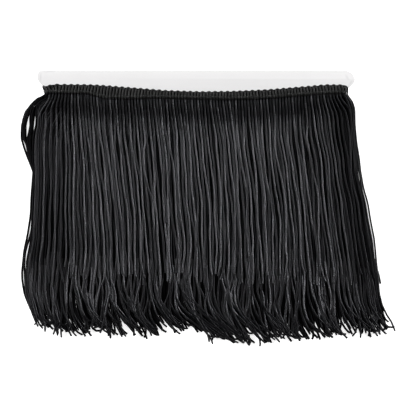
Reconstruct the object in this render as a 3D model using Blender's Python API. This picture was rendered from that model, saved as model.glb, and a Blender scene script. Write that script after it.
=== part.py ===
"""Chainette fringe wound on a white card bar, lying flat with its front up.

All sizes are in millimetres. X runs along the heading, Y up the strands, Z out of the surface.
"""
import math
import random
from collections import namedtuple

import bmesh
import bpy

MM = 0.001
SEED = 41

# Heading tape: one belt that goes round the bar one and a half times
HEAD_THICK = 1.8
RIB_RISE = 0.35
RIB_SINK = 0.15
SCALLOP_CREST = 0.5
SCALLOP_SHOULDER = 0.2
SCALLOP_NOTCH = 0.8
PLAIN_SCALLOP = 0.4
LEFT_X = -190.4
RIGHT_X = 159.2
SPREAD_SLOPE = 0.3
SPREAD_Y = 138.2
SPREAD_POWER = 5
INNER_START_X = -189.4
BEND_ANGLE = math.radians(86.0)
FOLD_STEPS = 8
BEND_STEPS = 5
TINY = 0.001
STATION_GAP = 0.7

# Heights of the runs over the surface, taken at the middle of the tape
BACK_Z = 0.5 * HEAD_THICK
INNER_Z = 8.3
OUTER_Z = 10.7

# Legs, the strands that leave the heading
OUTER_LEGS = 94
INNER_LEGS = 52
BACK_LEGS = 52
LEG_MARGIN = 0.9
FOLD_LEG_HALF = 1.25
STRAND_RISE = 1.8
TIP_TAPER = 0.75
OUTER_TIP_Y = -84.0
OUTER_TIP_SPREAD = 9.0
LOWER_TIP_SPREAD = 6.5
LOWER_TIP_LEAD = 8.0
SHORT_SHARE = 0.05
SHORT_LIFT = 62.0
ROOT_CLEARANCE = 3.0
WOBBLE = 0.7
WOBBLES = 9
WAVE_SIZE = 3.2
WAVE_LENGTH = 190.0
WAVE_LEAN = 0.5
WAVE_GROWTH = 60.0

# How far the side strands' bow reaches into the row of strands
OUTER_BOW_REACH = 9.0
INNER_BOW_REACH = 15.0
BACK_BOW_REACH = 18.0
LEFT_EDGE_X = -196.2
RIGHT_EDGE_X = 166.2
RAMP_START = 0.05
RAMP_END = 0.17
FAN_START = 0.72

# The lowest ends are swept to one side
SWEEP_START_Y = -110.0
SWEEP_FULL_Y = -142.0
SWEEP_SLOPE = 0.9

# Bar
BAR_BOTTOM_Z = 2.2
BAR_TOP_Z = 6.8
BAR_EDGE = 0.8

Head = namedtuple("Head", "x top bottom")
Flow = namedtuple("Flow", "y left right drift")
Level = namedtuple("Level", "near rest width reach phase wave")
FoldLeg = namedtuple("FoldLeg", "share lane level outside rings tip")
Tip = namedtuple("Tip", "x y")
Ends = namedtuple("Ends", "rows lead spread short_share")
Corner = namedtuple("Corner", "x y")

OUTER_HEAD = (
    Head(-190.4, 146.8, 138.2),
    Head(-182.0, 148.6, 138.6),
    Head(-141.0, 148.2, 138.2),
    Head(-117.0, 146.5, 136.4),
    Head(-93.0, 144.5, 134.4),
    Head(-51.0, 141.2, 131.1),
    Head(-10.0, 139.8, 129.8),
    Head(29.0, 140.2, 130.2),
    Head(74.0, 142.3, 132.2),
    Head(110.0, 145.3, 135.2),
    Head(143.0, 148.2, 138.2),
    Head(159.2, 147.4, 138.2),
)
BEND_HEAD = (
    Head(0.0, 147.4, 138.2),
    Head(0.66, 143.0, 138.0),
    Head(1.0, 142.9, 138.0),
)
INNER_HEAD = (
    Head(-186.0, 146.8, 138.0),
    Head(-141.0, 147.4, 138.0),
    Head(-120.0, 144.0, 134.5),
    Head(-105.0, 141.6, 132.0),
    Head(-75.0, 139.8, 130.2),
    Head(-30.0, 139.4, 130.0),
    Head(29.0, 140.4, 131.0),
    Head(74.0, 142.6, 133.2),
    Head(115.0, 144.6, 135.4),
    Head(150.0, 144.0, 135.0),
    Head(159.2, 143.0, 134.2),
)
BACK_HEAD = (
    Head(-190.4, 145.8, 137.4),
    Head(-100.0, 145.5, 136.5),
    Head(0.0, 144.0, 135.0),
    Head(100.0, 145.0, 136.0),
    Head(159.2, 143.0, 134.2),
)

# Sideways run of the left edge, the right edge and the middle of the fringe, by height
FLOW = (
    Flow(138.0, 0.0, 0.0, 0.0),
    Flow(131.0, -10.2, 3.5, 0.0),
    Flow(124.0, -16.5, 7.6, 0.2),
    Flow(115.0, -22.2, 9.4, 1.0),
    Flow(100.0, -26.4, 10.2, 2.5),
    Flow(82.0, -28.2, 13.0, 4.5),
    Flow(60.0, -22.2, 15.4, 6.7),
    Flow(40.0, -14.6, 18.0, 8.5),
    Flow(24.0, -15.0, 20.6, 10.0),
    Flow(0.0, -17.0, 27.0, 12.0),
    Flow(-20.0, -17.6, 30.6, 13.5),
    Flow(-40.0, -22.2, 34.2, 14.5),
    Flow(-60.0, -26.4, 35.8, 15.0),
    Flow(-86.0, -26.4, 38.2, 15.0),
    Flow(-105.0, -22.2, 39.4, 15.0),
    Flow(-126.0, -14.0, 40.4, 15.0),
    Flow(-142.0, -14.5, 34.0, 15.0),
    Flow(-166.0, -14.5, 31.0, 15.0),
)

# Strand levels: base height past the bar, base height at rest, width, bow reach, side wave
OUTER_HIGH = Level(9.5, 7.0, 2.4, OUTER_BOW_REACH, 0.4, WAVE_SIZE)
OUTER_LOW = Level(9.1, 4.8, 2.4, OUTER_BOW_REACH, 2.9, WAVE_SIZE)
INNER_LEVEL = Level(6.9, 2.4, 3.6, INNER_BOW_REACH, 1.7, 1.2)
BACK_LEVEL = Level(0.0, 0.0, 4.4, BACK_BOW_REACH, 4.2, 0.8)

NEAR_Y = 124.0
REST_Y = 106.0
OUTER_RINGS = (124.0, 106.0, 50.0, -20.0)
INNER_RINGS = (124.0, 106.0, 40.0, -40.0, -108.0, -130.0)
BACK_RINGS = (100.0, 0.0, -108.0, -130.0)
EDGE_RINGS = (115.0, 96.0, 82.0, 60.0, 40.0, 20.0, -20.0, -50.0, -86.0)
EDGE_SHARE = 0.3
RING_GAP = 7.0

# Strands that leave the belt where it folds round the bar: the share of the fold, the lane's own x
LEFT_FOLD_LEGS = (
    FoldLeg(0.14, -192.6, BACK_LEVEL, True, BACK_RINGS, -134.0),
    FoldLeg(0.33, -196.2, BACK_LEVEL, True, BACK_RINGS, -130.0),
    FoldLeg(0.51, -195.2, INNER_LEVEL, False, INNER_RINGS, -127.0),
    FoldLeg(0.68, -191.8, INNER_LEVEL, False, INNER_RINGS, -138.0),
    FoldLeg(0.87, -193.2, OUTER_HIGH, False, OUTER_RINGS, -92.0),
)
RIGHT_FOLD_LEGS = (
    FoldLeg(0.15, 163.6, INNER_LEVEL, False, INNER_RINGS, -144.0),
    FoldLeg(0.82, 164.6, BACK_LEVEL, True, BACK_RINGS, -150.0),
)
BEND_LEGS = (
    FoldLeg(0.22, 162.8, OUTER_HIGH, False, OUTER_RINGS, -80.0),
    FoldLeg(0.46, 166.2, OUTER_LOW, False, OUTER_RINGS, -90.0),
)

LOWER_TIPS = (
    Tip(-215.0, -128.0),
    Tip(-200.0, -139.0),
    Tip(-174.0, -146.0),
    Tip(-120.0, -153.0),
    Tip(-50.0, -151.0),
    Tip(15.0, -158.0),
    Tip(60.0, -158.0),
    Tip(120.0, -154.0),
    Tip(170.0, -152.0),
    Tip(215.0, -145.0),
)

# Where the strands of a run end, and how far the ends scatter
OUTER_ENDS = Ends((Tip(0.0, OUTER_TIP_Y),), 0.0, OUTER_TIP_SPREAD, SHORT_SHARE)
LOWER_ENDS = Ends(LOWER_TIPS, LOWER_TIP_LEAD, LOWER_TIP_SPREAD, 0.0)

BAR_OUTLINE = (
    Corner(-201.5, 165.0),
    Corner(166.0, 165.0),
    Corner(170.3, 163.5),
    Corner(173.1, 160.8),
    Corner(174.9, 157.0),
    Corner(175.2, 152.5),
    Corner(174.0, 148.6),
    Corner(171.4, 145.8),
    Corner(168.0, 144.5),
    Corner(162.4, 144.0),
    Corner(160.0, 141.4),
    Corner(157.6, 137.5),
    Corner(153.6, 134.4),
    Corner(148.0, 133.0),
    Corner(-180.0, 133.0),
    Corner(-185.0, 134.6),
    Corner(-188.6, 138.0),
    Corner(-191.0, 142.6),
    Corner(-193.4, 146.4),
    Corner(-196.4, 147.2),
    Corner(-199.8, 147.9),
    Corner(-202.6, 149.8),
    Corner(-204.3, 152.6),
    Corner(-204.8, 156.0),
    Corner(-204.8, 160.8),
    Corner(-203.8, 163.6),
)


def smooth(value):
    """Ease a value from 0 to 1."""
    value = min(1.0, max(0.0, value))
    return value * value * (3.0 - 2.0 * value)


def table_value(rows, key, column, at):
    """Interpolate a column of a table at a value of its key column."""
    ordered = sorted(rows, key=lambda row: getattr(row, key))
    if at <= getattr(ordered[0], key):
        return getattr(ordered[0], column)
    for low, high in zip(ordered, ordered[1:]):
        start = getattr(low, key)
        end = getattr(high, key)
        if at <= end:
            share = (at - start) / (end - start)
            return getattr(low, column) * (1.0 - share) + getattr(high, column) * share
    return getattr(ordered[-1], column)


class Stretch:
    """One straight or bent stretch of the belt, with its heading heights."""

    def __init__(self, kind, start, end, height, radius, turn, rows):
        self.kind = kind
        self.start = start
        self.end = end
        self.height = height
        self.radius = radius
        self.turn = turn
        self.rows = rows
        self.length = abs(end - start) if kind == "run" else radius * abs(turn)

    def centre(self, along):
        """Return x, z and the outward direction at a distance along the stretch."""
        if self.kind == "run":
            way = 1.0 if self.end > self.start else -1.0
            return self.start + way * along, self.height, 0.0, way
        angle = along / self.radius
        if self.turn < 0.0:
            side = -math.sin(angle)
            up = -math.cos(angle)
        else:
            side = math.sin(angle)
            up = math.cos(angle)
        return self.start + self.radius * side, self.height + self.radius * up, side, up

    def edges(self, along, x):
        """Return the heading's top and bottom at a distance along the stretch."""
        at = x if self.kind == "run" else along / self.length
        return table_value(self.rows, "x", "top", at), table_value(self.rows, "x", "bottom", at)


def fold_rows(first, last):
    """Return heading rows that join the ends of two runs."""
    return (Head(0.0, first.top, first.bottom), Head(1.0, last.top, last.bottom))


def belt_stretches():
    """Return the stretches of the belt from its inner end to its outer end."""
    right_z = 0.5 * (INNER_Z + BACK_Z)
    left_z = 0.5 * (OUTER_Z + BACK_Z)
    inner = Stretch("run", INNER_START_X, RIGHT_X, INNER_Z, 0.0, 0.0, INNER_HEAD)
    right = Stretch("fold", RIGHT_X, RIGHT_X, right_z, INNER_Z - right_z, math.pi,
                    fold_rows(INNER_HEAD[-1], BACK_HEAD[-1]))
    back = Stretch("run", RIGHT_X, LEFT_X, BACK_Z, 0.0, 0.0, BACK_HEAD)
    left = Stretch("fold", LEFT_X, LEFT_X, left_z, OUTER_Z - left_z, -math.pi,
                   fold_rows(BACK_HEAD[0], OUTER_HEAD[0]))
    outer = Stretch("run", LEFT_X, RIGHT_X, OUTER_Z, 0.0, 0.0, OUTER_HEAD)
    bend = Stretch("fold", RIGHT_X, RIGHT_X, right_z, OUTER_Z - right_z, BEND_ANGLE, BEND_HEAD)
    return inner, right, back, left, outer, bend


class Belt:
    """The heading tape as a path with an inside and an outside face."""

    def __init__(self):
        self.stretches = belt_stretches()
        self.starts = []
        total = 0.0
        for stretch in self.stretches:
            self.starts.append(total)
            total += stretch.length
        self.total = total

    def place(self, t):
        """Return centre, outward direction and edges at a distance along the belt."""
        index = 0
        while index + 1 < len(self.starts) and t >= self.starts[index + 1]:
            index += 1
        stretch = self.stretches[index]
        along = min(t - self.starts[index], stretch.length)
        x, z, side, up = stretch.centre(along)
        top, bottom = stretch.edges(along, x)
        return x, z, side, up, top, bottom

    def point(self, t, offset, rise, is_top):
        """Return a point on a face of the tape, at its top or bottom edge."""
        x, z, side, up, top, bottom = self.place(t)
        px = x + side * offset
        middle = 0.5 * (LEFT_X + RIGHT_X)
        half = 0.5 * (RIGHT_X - LEFT_X)
        y = top + rise if is_top else bottom
        px += SPREAD_SLOPE * (y - SPREAD_Y) * ((x - middle) / half) ** SPREAD_POWER
        return px, y, max(0.0, z + up * offset)


class Leg:
    """A strand: where it leaves the belt, its level and its end."""

    def __init__(self, t, half, lane, level, base_outside, rings, tip_y, has_rib):
        self.t = t
        self.half = half
        self.lane = lane
        self.level = level
        self.base_outside = base_outside
        self.rings = rings
        self.tip_y = tip_y
        self.has_rib = has_rib
        self.wobble = ()


def side_shares(x, level):
    """Return how far a strand follows the left edge, the middle and the right edge."""
    share = (x - LEFT_EDGE_X) / (RIGHT_EDGE_X - LEFT_EDGE_X)
    left = math.exp(-max(0.0, x - LEFT_EDGE_X) / level.reach)
    middle = smooth((share - RAMP_START) / (RAMP_END - RAMP_START))
    right = min(1.0, max(0.0, (share - FAN_START) / (1.0 - FAN_START))) ** 2
    return left, middle, right


def sweep(y):
    """Return the sideways sweep of the lowest ends at a height."""
    span = SWEEP_START_Y - SWEEP_FULL_Y
    past = SWEEP_START_Y - y
    if past <= 0.0:
        return 0.0
    if past <= span:
        return 0.5 * SWEEP_SLOPE * past * past / span
    return 0.5 * SWEEP_SLOPE * span + SWEEP_SLOPE * (past - span)


def lane_x(root_x, y, level):
    """Return where a strand with a given root lies at a height."""
    left, middle, right = side_shares(root_x, level)
    bow = table_value(FLOW, "y", "left", y)
    fan = table_value(FLOW, "y", "right", y)
    drift = table_value(FLOW, "y", "drift", y)
    x = root_x + left * bow + middle * (1.0 - right) * drift + right * fan + sweep(y)
    grown = smooth((NEAR_Y - y) / WAVE_GROWTH)
    turn = math.tau * (root_x + WAVE_LEAN * y) / WAVE_LENGTH + level.phase
    return x + level.wave * grown * (1.0 - left) * math.sin(turn)


def lane_z(y, root_y, root_z, level):
    """Return the base height of a strand at a height along it."""
    if y <= REST_Y:
        return level.rest
    if y <= NEAR_Y:
        share = (NEAR_Y - y) / (NEAR_Y - REST_Y)
        return level.near + (level.rest - level.near) * share
    share = (root_y - y) / max(1.0, root_y - NEAR_Y)
    return root_z + (level.near - root_z) * share


def strand_rings(root_x, leg):
    """Return the heights of a strand's cross-sections below its root."""
    left, _, right = side_shares(root_x, leg.level)
    heights = set(leg.rings)
    if max(left, right * right) > EDGE_SHARE:
        heights.update(EDGE_RINGS)
    kept = sorted((y for y in heights if y > leg.tip_y + RING_GAP), reverse=True)
    return kept + [leg.tip_y]


def run_legs(belt, index, count, levels, base_outside, rings, ends, has_rib, rng):
    """Return evenly spaced legs along one run of the belt."""
    start = belt.starts[index] + LEG_MARGIN
    length = belt.stretches[index].length - 2.0 * LEG_MARGIN
    pitch = length / count
    legs = []
    for number in range(count):
        t = start + (number + 0.5) * pitch
        lane = belt.place(t)[0]
        tip_y = tip_height(lane, ends, rng)
        level = levels[number % len(levels)]
        leg = Leg(t, 0.5 * pitch, lane, level, base_outside, rings, tip_y, has_rib)
        legs.append(leg)
    return legs


def fold_legs(belt, index, rows):
    """Return the legs of one fold of the belt."""
    start = belt.starts[index]
    length = belt.stretches[index].length
    legs = []
    for row in rows:
        t = start + row.share * length
        leg = Leg(t, FOLD_LEG_HALF, row.lane, row.level, row.outside, row.rings, row.tip, False)
        legs.append(leg)
    return legs


def tip_height(x, ends, rng):
    """Return the height where a strand with a given root ends."""
    tip_y = table_value(ends.rows, "x", "y", x + ends.lead)
    tip_y += rng.uniform(-1.0, 1.0) * ends.spread
    if ends.short_share > 0.0 and rng.random() < ends.short_share:
        tip_y += SHORT_LIFT
    return tip_y


def all_legs(belt, rng):
    """Return every leg in order along the belt."""
    legs = run_legs(belt, 0, INNER_LEGS, (INNER_LEVEL,), False, INNER_RINGS, LOWER_ENDS, False, rng)
    legs += fold_legs(belt, 1, RIGHT_FOLD_LEGS)
    legs += run_legs(belt, 2, BACK_LEGS, (BACK_LEVEL,), True, BACK_RINGS, LOWER_ENDS, False, rng)
    legs += fold_legs(belt, 3, LEFT_FOLD_LEGS)
    levels = (OUTER_HIGH, OUTER_LOW)
    legs += run_legs(belt, 4, OUTER_LEGS, levels, False, OUTER_RINGS, OUTER_ENDS, True, rng)
    legs += fold_legs(belt, 5, BEND_LEGS)
    return legs


class Station:
    """A pair of top and bottom points on one face of the tape."""

    def __init__(self, t, rise, lift, role, leg):
        self.t = t
        self.rise = rise
        self.lift = lift
        self.role = role
        self.leg = leg
        self.top = None
        self.bottom = None


def stations(belt, legs):
    """Return the stations of the inside and the outside face."""
    inside = []
    outside = []
    for number, leg in enumerate(legs):
        base, apex = (outside, inside) if leg.base_outside else (inside, outside)
        crest = number % 2 == 0
        notch = -PLAIN_SCALLOP
        shoulder = PLAIN_SCALLOP
        lift = 0.0
        if leg.has_rib:
            notch = SCALLOP_CREST if crest else -SCALLOP_NOTCH
            shoulder = SCALLOP_SHOULDER
            lift = RIB_RISE
        start = leg.t - leg.half
        end = leg.t + leg.half
        if not base or base[-1].t < start - TINY:
            base.append(Station(start, 0.0, 0.0, "edge", None))
        base[-1].leg = leg
        apex.append(Station(leg.t, shoulder, lift, "apex", leg))
        base.append(Station(end, notch, 0.0, "edge", None))
        if leg.has_rib:
            sink = 0.5 * RIB_RISE if crest else -RIB_SINK
            apex.append(Station(end + TINY, notch, sink, "valley", None))
    plain = [0.0]
    for index, steps in ((1, FOLD_STEPS), (3, FOLD_STEPS), (5, BEND_STEPS)):
        start = belt.starts[index]
        for step in range(steps + 1):
            plain.append(start + belt.stretches[index].length * step / steps)
    for side in (inside, outside):
        taken = [station.t for station in side]
        spans = [(leg.t - leg.half, leg.t + leg.half) for leg in legs]
        for t in plain:
            near = any(abs(t - other) < STATION_GAP for other in taken)
            within = any(low - TINY < t < high + TINY for low, high in spans)
            if t in (0.0, belt.total) or not (near or within):
                side.append(Station(t, 0.0, 0.0, "plain", None))
        side.sort(key=lambda station: station.t)
    return inside, outside


class Mesh:
    """A growing triangle mesh in millimetres."""

    def __init__(self):
        self.verts = []
        self.faces = []

    def vert(self, x, y, z):
        """Add a point and return its number."""
        self.verts.append((x * MM, y * MM, z * MM))
        return len(self.verts) - 1

    def tri(self, a, b, c):
        """Add a triangle."""
        self.faces.append((a, b, c))

    def quad(self, a, b, c, d):
        """Add a quad as two triangles."""
        self.tri(a, b, c)
        self.tri(a, c, d)


def zip_edge(mesh, inside, outside, row, on_leg):
    """Fill the tape's top or bottom edge between its two faces."""
    i = 0
    o = 0
    while i + 1 < len(inside) or o + 1 < len(outside):
        next_i = inside[i + 1].t if i + 1 < len(inside) else math.inf
        next_o = outside[o + 1].t if o + 1 < len(outside) else math.inf
        if next_i <= next_o:
            first = inside[i]
            last = inside[i + 1]
            third = outside[o]
            i += 1
        else:
            first = outside[o]
            last = outside[o + 1]
            third = inside[i]
            o += 1
        leg = first.leg
        is_root = first.role == "edge" and last.role == "edge" and leg is not None
        if on_leg is not None and is_root and third.role == "apex" and third.leg is leg:
            on_leg(leg, first, last, third)
            continue
        mesh.tri(getattr(first, row), getattr(last, row), getattr(third, row))


def add_strand(mesh, belt, leg, first, last, third):
    """Draw a strand from its root triangle on the heading's lower edge."""
    x, z, _, _, _, root_y = belt.place(leg.t)
    root_x = leg.lane
    root_z = max(0.0, z - 0.5 * HEAD_THICK)
    flipped = leg.base_outside
    ring = (first.bottom, last.bottom, third.bottom)
    heights = [y for y in strand_rings(root_x, leg) if y < root_y - ROOT_CLEARANCE]
    previous = (x, root_y)
    for number, y in enumerate(heights):
        jitter = leg.wobble[number % len(leg.wobble)] * smooth((NEAR_Y - y) / WAVE_GROWTH)
        cx = lane_x(root_x, y, leg.level) + jitter
        base_z = lane_z(y, root_y, root_z, leg.level)
        ahead_y = heights[number + 1] if number + 1 < len(heights) else y
        ahead_x = lane_x(root_x, ahead_y, leg.level) if number + 1 < len(heights) else cx
        run_x = ahead_x - previous[0]
        run_y = ahead_y - previous[1]
        size = math.hypot(run_x, run_y)
        across_x = -run_y / size
        across_y = run_x / size
        is_last = number + 1 == len(heights)
        half = 0.5 * leg.level.width * (TIP_TAPER if is_last else 1.0)
        left = mesh.vert(cx - across_x * half, y - across_y * half, base_z)
        right = mesh.vert(cx + across_x * half, y + across_y * half, base_z)
        crown = mesh.vert(cx, y, base_z + STRAND_RISE)
        new = (right, left, crown) if flipped else (left, right, crown)
        for k in range(3):
            mesh.quad(ring[k], ring[(k + 1) % 3], new[(k + 1) % 3], new[k])
        ring = new
        previous = (cx, y)
    mesh.tri(*ring)


def build_fringe():
    """Build the heading belt with its strands as one closed body."""
    rng = random.Random(SEED)
    belt = Belt()
    legs = all_legs(belt, rng)
    for leg in legs:
        leg.wobble = tuple(rng.uniform(-WOBBLE, WOBBLE) for _ in range(WOBBLES))
    inside, outside = stations(belt, legs)
    mesh = Mesh()
    for side, offset in ((inside, -0.5 * HEAD_THICK), (outside, 0.5 * HEAD_THICK)):
        for station in side:
            reach = offset + station.lift
            station.top = mesh.vert(*belt.point(station.t, reach, station.rise, True))
            station.bottom = mesh.vert(*belt.point(station.t, reach, 0.0, False))
        for first, last in zip(side, side[1:]):
            mesh.quad(first.top, last.top, last.bottom, first.bottom)
    zip_edge(mesh, inside, outside, "top", None)

    def grow(leg, first, last, third):
        add_strand(mesh, belt, leg, first, last, third)

    zip_edge(mesh, inside, outside, "bottom", grow)
    for end in (0, -1):
        mesh.quad(inside[end].top, outside[end].top, outside[end].bottom, inside[end].bottom)
    return mesh


def inset_outline(outline, amount):
    """Return an outline moved inwards by an amount."""
    moved = []
    count = len(outline)
    for k in range(count):
        before = outline[k - 1]
        here = outline[k]
        after = outline[(k + 1) % count]
        dx = after.x - before.x
        dy = after.y - before.y
        size = math.hypot(dx, dy)
        moved.append(Corner(here.x + amount * dy / size, here.y - amount * dx / size))
    return moved


def build_bar():
    """Build the bar as a flat plate with softened edges."""
    mesh = Mesh()
    narrow = inset_outline(BAR_OUTLINE, BAR_EDGE)
    layers = (
        (narrow, BAR_BOTTOM_Z),
        (BAR_OUTLINE, BAR_BOTTOM_Z + BAR_EDGE),
        (BAR_OUTLINE, BAR_TOP_Z - BAR_EDGE),
        (narrow, BAR_TOP_Z),
    )
    rows = []
    for outline, z in layers:
        rows.append([mesh.vert(corner.x, corner.y, z) for corner in outline])
    count = len(BAR_OUTLINE)
    for low, high in zip(rows, rows[1:]):
        for k in range(count):
            after = (k + 1) % count
            mesh.faces.append((low[k], low[after], high[after], high[k]))
    mesh.faces.append(tuple(reversed(rows[0])))
    mesh.faces.append(tuple(rows[-1]))
    return mesh


def centre_on_origin(meshes):
    """Move the meshes together so that their box is centred on X and Y."""
    xs = [vert[0] for mesh in meshes for vert in mesh.verts]
    ys = [vert[1] for mesh in meshes for vert in mesh.verts]
    shift_x = 0.5 * (min(xs) + max(xs))
    shift_y = 0.5 * (min(ys) + max(ys))
    for mesh in meshes:
        mesh.verts = [(x - shift_x, y - shift_y, z) for x, y, z in mesh.verts]


def material(name, colour, roughness):
    """Return a plain material."""
    made = bpy.data.materials.new(name)
    made.use_nodes = True
    shader = made.node_tree.nodes["Principled BSDF"]
    shader.inputs["Base Color"].default_value = (*colour, 1.0)
    shader.inputs["Roughness"].default_value = roughness
    made.diffuse_color = (*colour, 1.0)
    return made


def add_object(name, mesh, look):
    """Put a mesh in the scene as a named object with outward normals."""
    data = bpy.data.meshes.new(name)
    data.from_pydata(mesh.verts, [], mesh.faces)
    shape = bmesh.new()
    shape.from_mesh(data)
    bmesh.ops.recalc_face_normals(shape, faces=shape.faces)
    shape.to_mesh(data)
    shape.free()
    data.materials.append(look)
    made = bpy.data.objects.new(name, data)
    bpy.context.scene.collection.objects.link(made)
    return made


def main():
    """Clear the scene and build the fringe and its bar."""
    for old in list(bpy.data.objects):
        bpy.data.objects.remove(old)
    yarn = material("black_yarn", (0.022, 0.022, 0.024), 0.42)
    card = material("white_card", (0.86, 0.85, 0.855), 0.7)
    fringe = build_fringe()
    bar = build_bar()
    centre_on_origin((fringe, bar))
    add_object("fringe", fringe, yarn)
    add_object("bar", bar, card)


main()
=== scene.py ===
"""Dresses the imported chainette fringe: knitted cords, ribbed heading, card bar, pale table and soft light.

The classes hold their sizes in millimetres, in the design frame of the part: X runs along the heading,
Y up the strands and Z out of the table. The bar's packed box gives the shift to the row frame.
"""
import logging
import math
import random
from dataclasses import dataclass, field
from enum import Enum, IntEnum
from typing import Any, ClassVar, Sequence

import bmesh
import bpy
import numpy as np
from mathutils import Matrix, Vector, noise


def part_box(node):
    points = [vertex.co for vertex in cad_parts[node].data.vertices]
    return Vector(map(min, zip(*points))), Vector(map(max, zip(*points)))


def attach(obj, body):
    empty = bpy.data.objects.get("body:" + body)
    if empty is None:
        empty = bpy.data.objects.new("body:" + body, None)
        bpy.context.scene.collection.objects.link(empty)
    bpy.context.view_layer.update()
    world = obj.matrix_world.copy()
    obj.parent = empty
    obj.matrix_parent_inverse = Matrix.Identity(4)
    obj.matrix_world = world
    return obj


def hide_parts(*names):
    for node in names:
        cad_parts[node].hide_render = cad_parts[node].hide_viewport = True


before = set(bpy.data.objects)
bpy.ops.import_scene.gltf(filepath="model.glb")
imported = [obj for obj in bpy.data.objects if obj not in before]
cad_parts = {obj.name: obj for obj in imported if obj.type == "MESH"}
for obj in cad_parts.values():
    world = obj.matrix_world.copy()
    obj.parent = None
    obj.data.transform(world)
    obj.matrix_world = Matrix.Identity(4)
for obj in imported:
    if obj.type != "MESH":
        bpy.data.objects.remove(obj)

MM = 0.001
SEED = 41
LOG = logging.getLogger("chainette_fringe")

Point = tuple[float, float, float]
Colour = tuple[float, float, float]


class Slot(Enum):
    """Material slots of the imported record."""

    YARN = "black_yarn"
    CARD = "white_card"


class Turn(Enum):
    """Turns of the wound heading, from the inside of the winding outwards."""

    INNER = "inner"
    BACK = "back"
    OUTER = "outer"


class Look(IntEnum):
    """Finishes of a cord, in the order of its material slots: the yarn fully lit, three copies of it with less
    specular that paint shade, then the rib yarn.
    """

    # The first four are one yarn: lit, then in half, full and deep painted shade.
    LIT_SATIN = 0
    HALF_SHADE = 1
    SHADED = 2
    DEEP_SHADE = 3
    RIB = 4


@dataclass(frozen=True)
class HeadRow:
    """Top and bottom edge of the heading at a place along it."""

    at: float
    top: float
    bottom: float


@dataclass(frozen=True)
class FlowRow:
    """Sideways run of the left edge, the right edge and the middle of the strands at a height."""

    y: float
    left: float
    right: float
    drift: float


@dataclass(frozen=True)
class LeftRimRow:
    """Where the six loose strands at the left rim lie at a height."""

    y: float
    rim: float
    second: float
    third: float
    fourth: float
    fifth: float
    sixth: float


@dataclass(frozen=True)
class RightRimRow:
    """Where the three loose strands at the right rim lie at a height."""

    y: float
    rim: float
    second: float
    third: float


@dataclass(frozen=True)
class StrayEnd:
    """A loose end that reaches past the hem: where it ends, how long it is and how far it curls."""

    x: float
    y: float
    tail: float
    turn: float


@dataclass(frozen=True)
class HemRow:
    """How far down the lowest strand ends reach at a place along the hem."""

    x: float
    y: float


def table_of(kind: type, *values: tuple[Any, ...]) -> tuple[Any, ...]:
    """Return a table of one kind of row."""
    return tuple(kind(*row) for row in values)


OUTER_HEAD = table_of(
    HeadRow,
    (-190.4, 146.8, 138.2), (-182.0, 148.6, 138.6), (-145.0, 148.2, 138.0), (-132.0, 147.6, 134.4),
    (-125.0, 147.1, 132.4), (-117.0, 146.5, 131.9), (-93.0, 144.5, 131.8), (-72.0, 142.9, 132.6),
    (-51.0, 141.2, 132.4), (-10.0, 139.8, 131.4), (29.0, 140.2, 131.0), (60.0, 141.6, 131.6), (74.0, 142.3, 132.5),
    (110.0, 145.3, 135.5), (143.0, 148.2, 138.2), (159.2, 148.0, 138.2))
BEND_HEAD = table_of(
    HeadRow,
    (0.0, 148.0, 138.2), (0.4, 147.0, 138.1), (0.7, 144.9, 138.0), (1.0, 143.6, 138.0))
INNER_HEAD = table_of(
    HeadRow,
    (-186.0, 146.8, 138.0), (-141.0, 147.4, 138.0), (-120.0, 144.0, 134.5), (-105.0, 141.4, 131.8),
    (-75.0, 139.6, 130.0), (-30.0, 138.6, 129.4), (29.0, 138.8, 129.8), (74.0, 141.0, 132.0), (115.0, 143.6, 134.6),
    (150.0, 143.6, 134.8), (159.2, 143.0, 134.2))
BACK_HEAD = table_of(
    HeadRow,
    (-190.4, 145.8, 137.4), (-100.0, 145.5, 136.5), (0.0, 144.0, 135.0), (100.0, 145.0, 136.0), (159.2, 143.0, 134.2))
FLOW = table_of(
    FlowRow,
    (138.0, -2.4, 5.2, 0.0), (130.8, -9.2, 10.7, 0.0), (124.8, -14.0, 13.1, 0.2), (115.2, -16.0, 14.5, 1.0),
    (105.0, -15.6, 14.9, 2.0), (97.0, -16.2, 15.2, 2.7), (90.0, -18.6, 16.0, 3.5), (81.6, -19.4, 16.8, 4.5),
    (60.0, -19.4, 19.2, 6.7), (43.2, -18.6, 20.0, 8.5), (24.0, -18.8, 23.2, 10.0), (7.2, -19.4, 28.2, 11.6),
    (-14.4, -20.8, 31.6, 13.0), (-39.6, -22.4, 36.4, 14.5), (-63.6, -27.2, 40.8, 15.0), (-79.2, -27.4, 42.8, 15.0),
    (-102.0, -27.4, 45.0, 15.0), (-122.4, -21.8, 47.2, 15.0), (-140.4, -21.6, 40.0, 15.0),
    (-166.0, -24.0, 24.0, 15.0))
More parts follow.
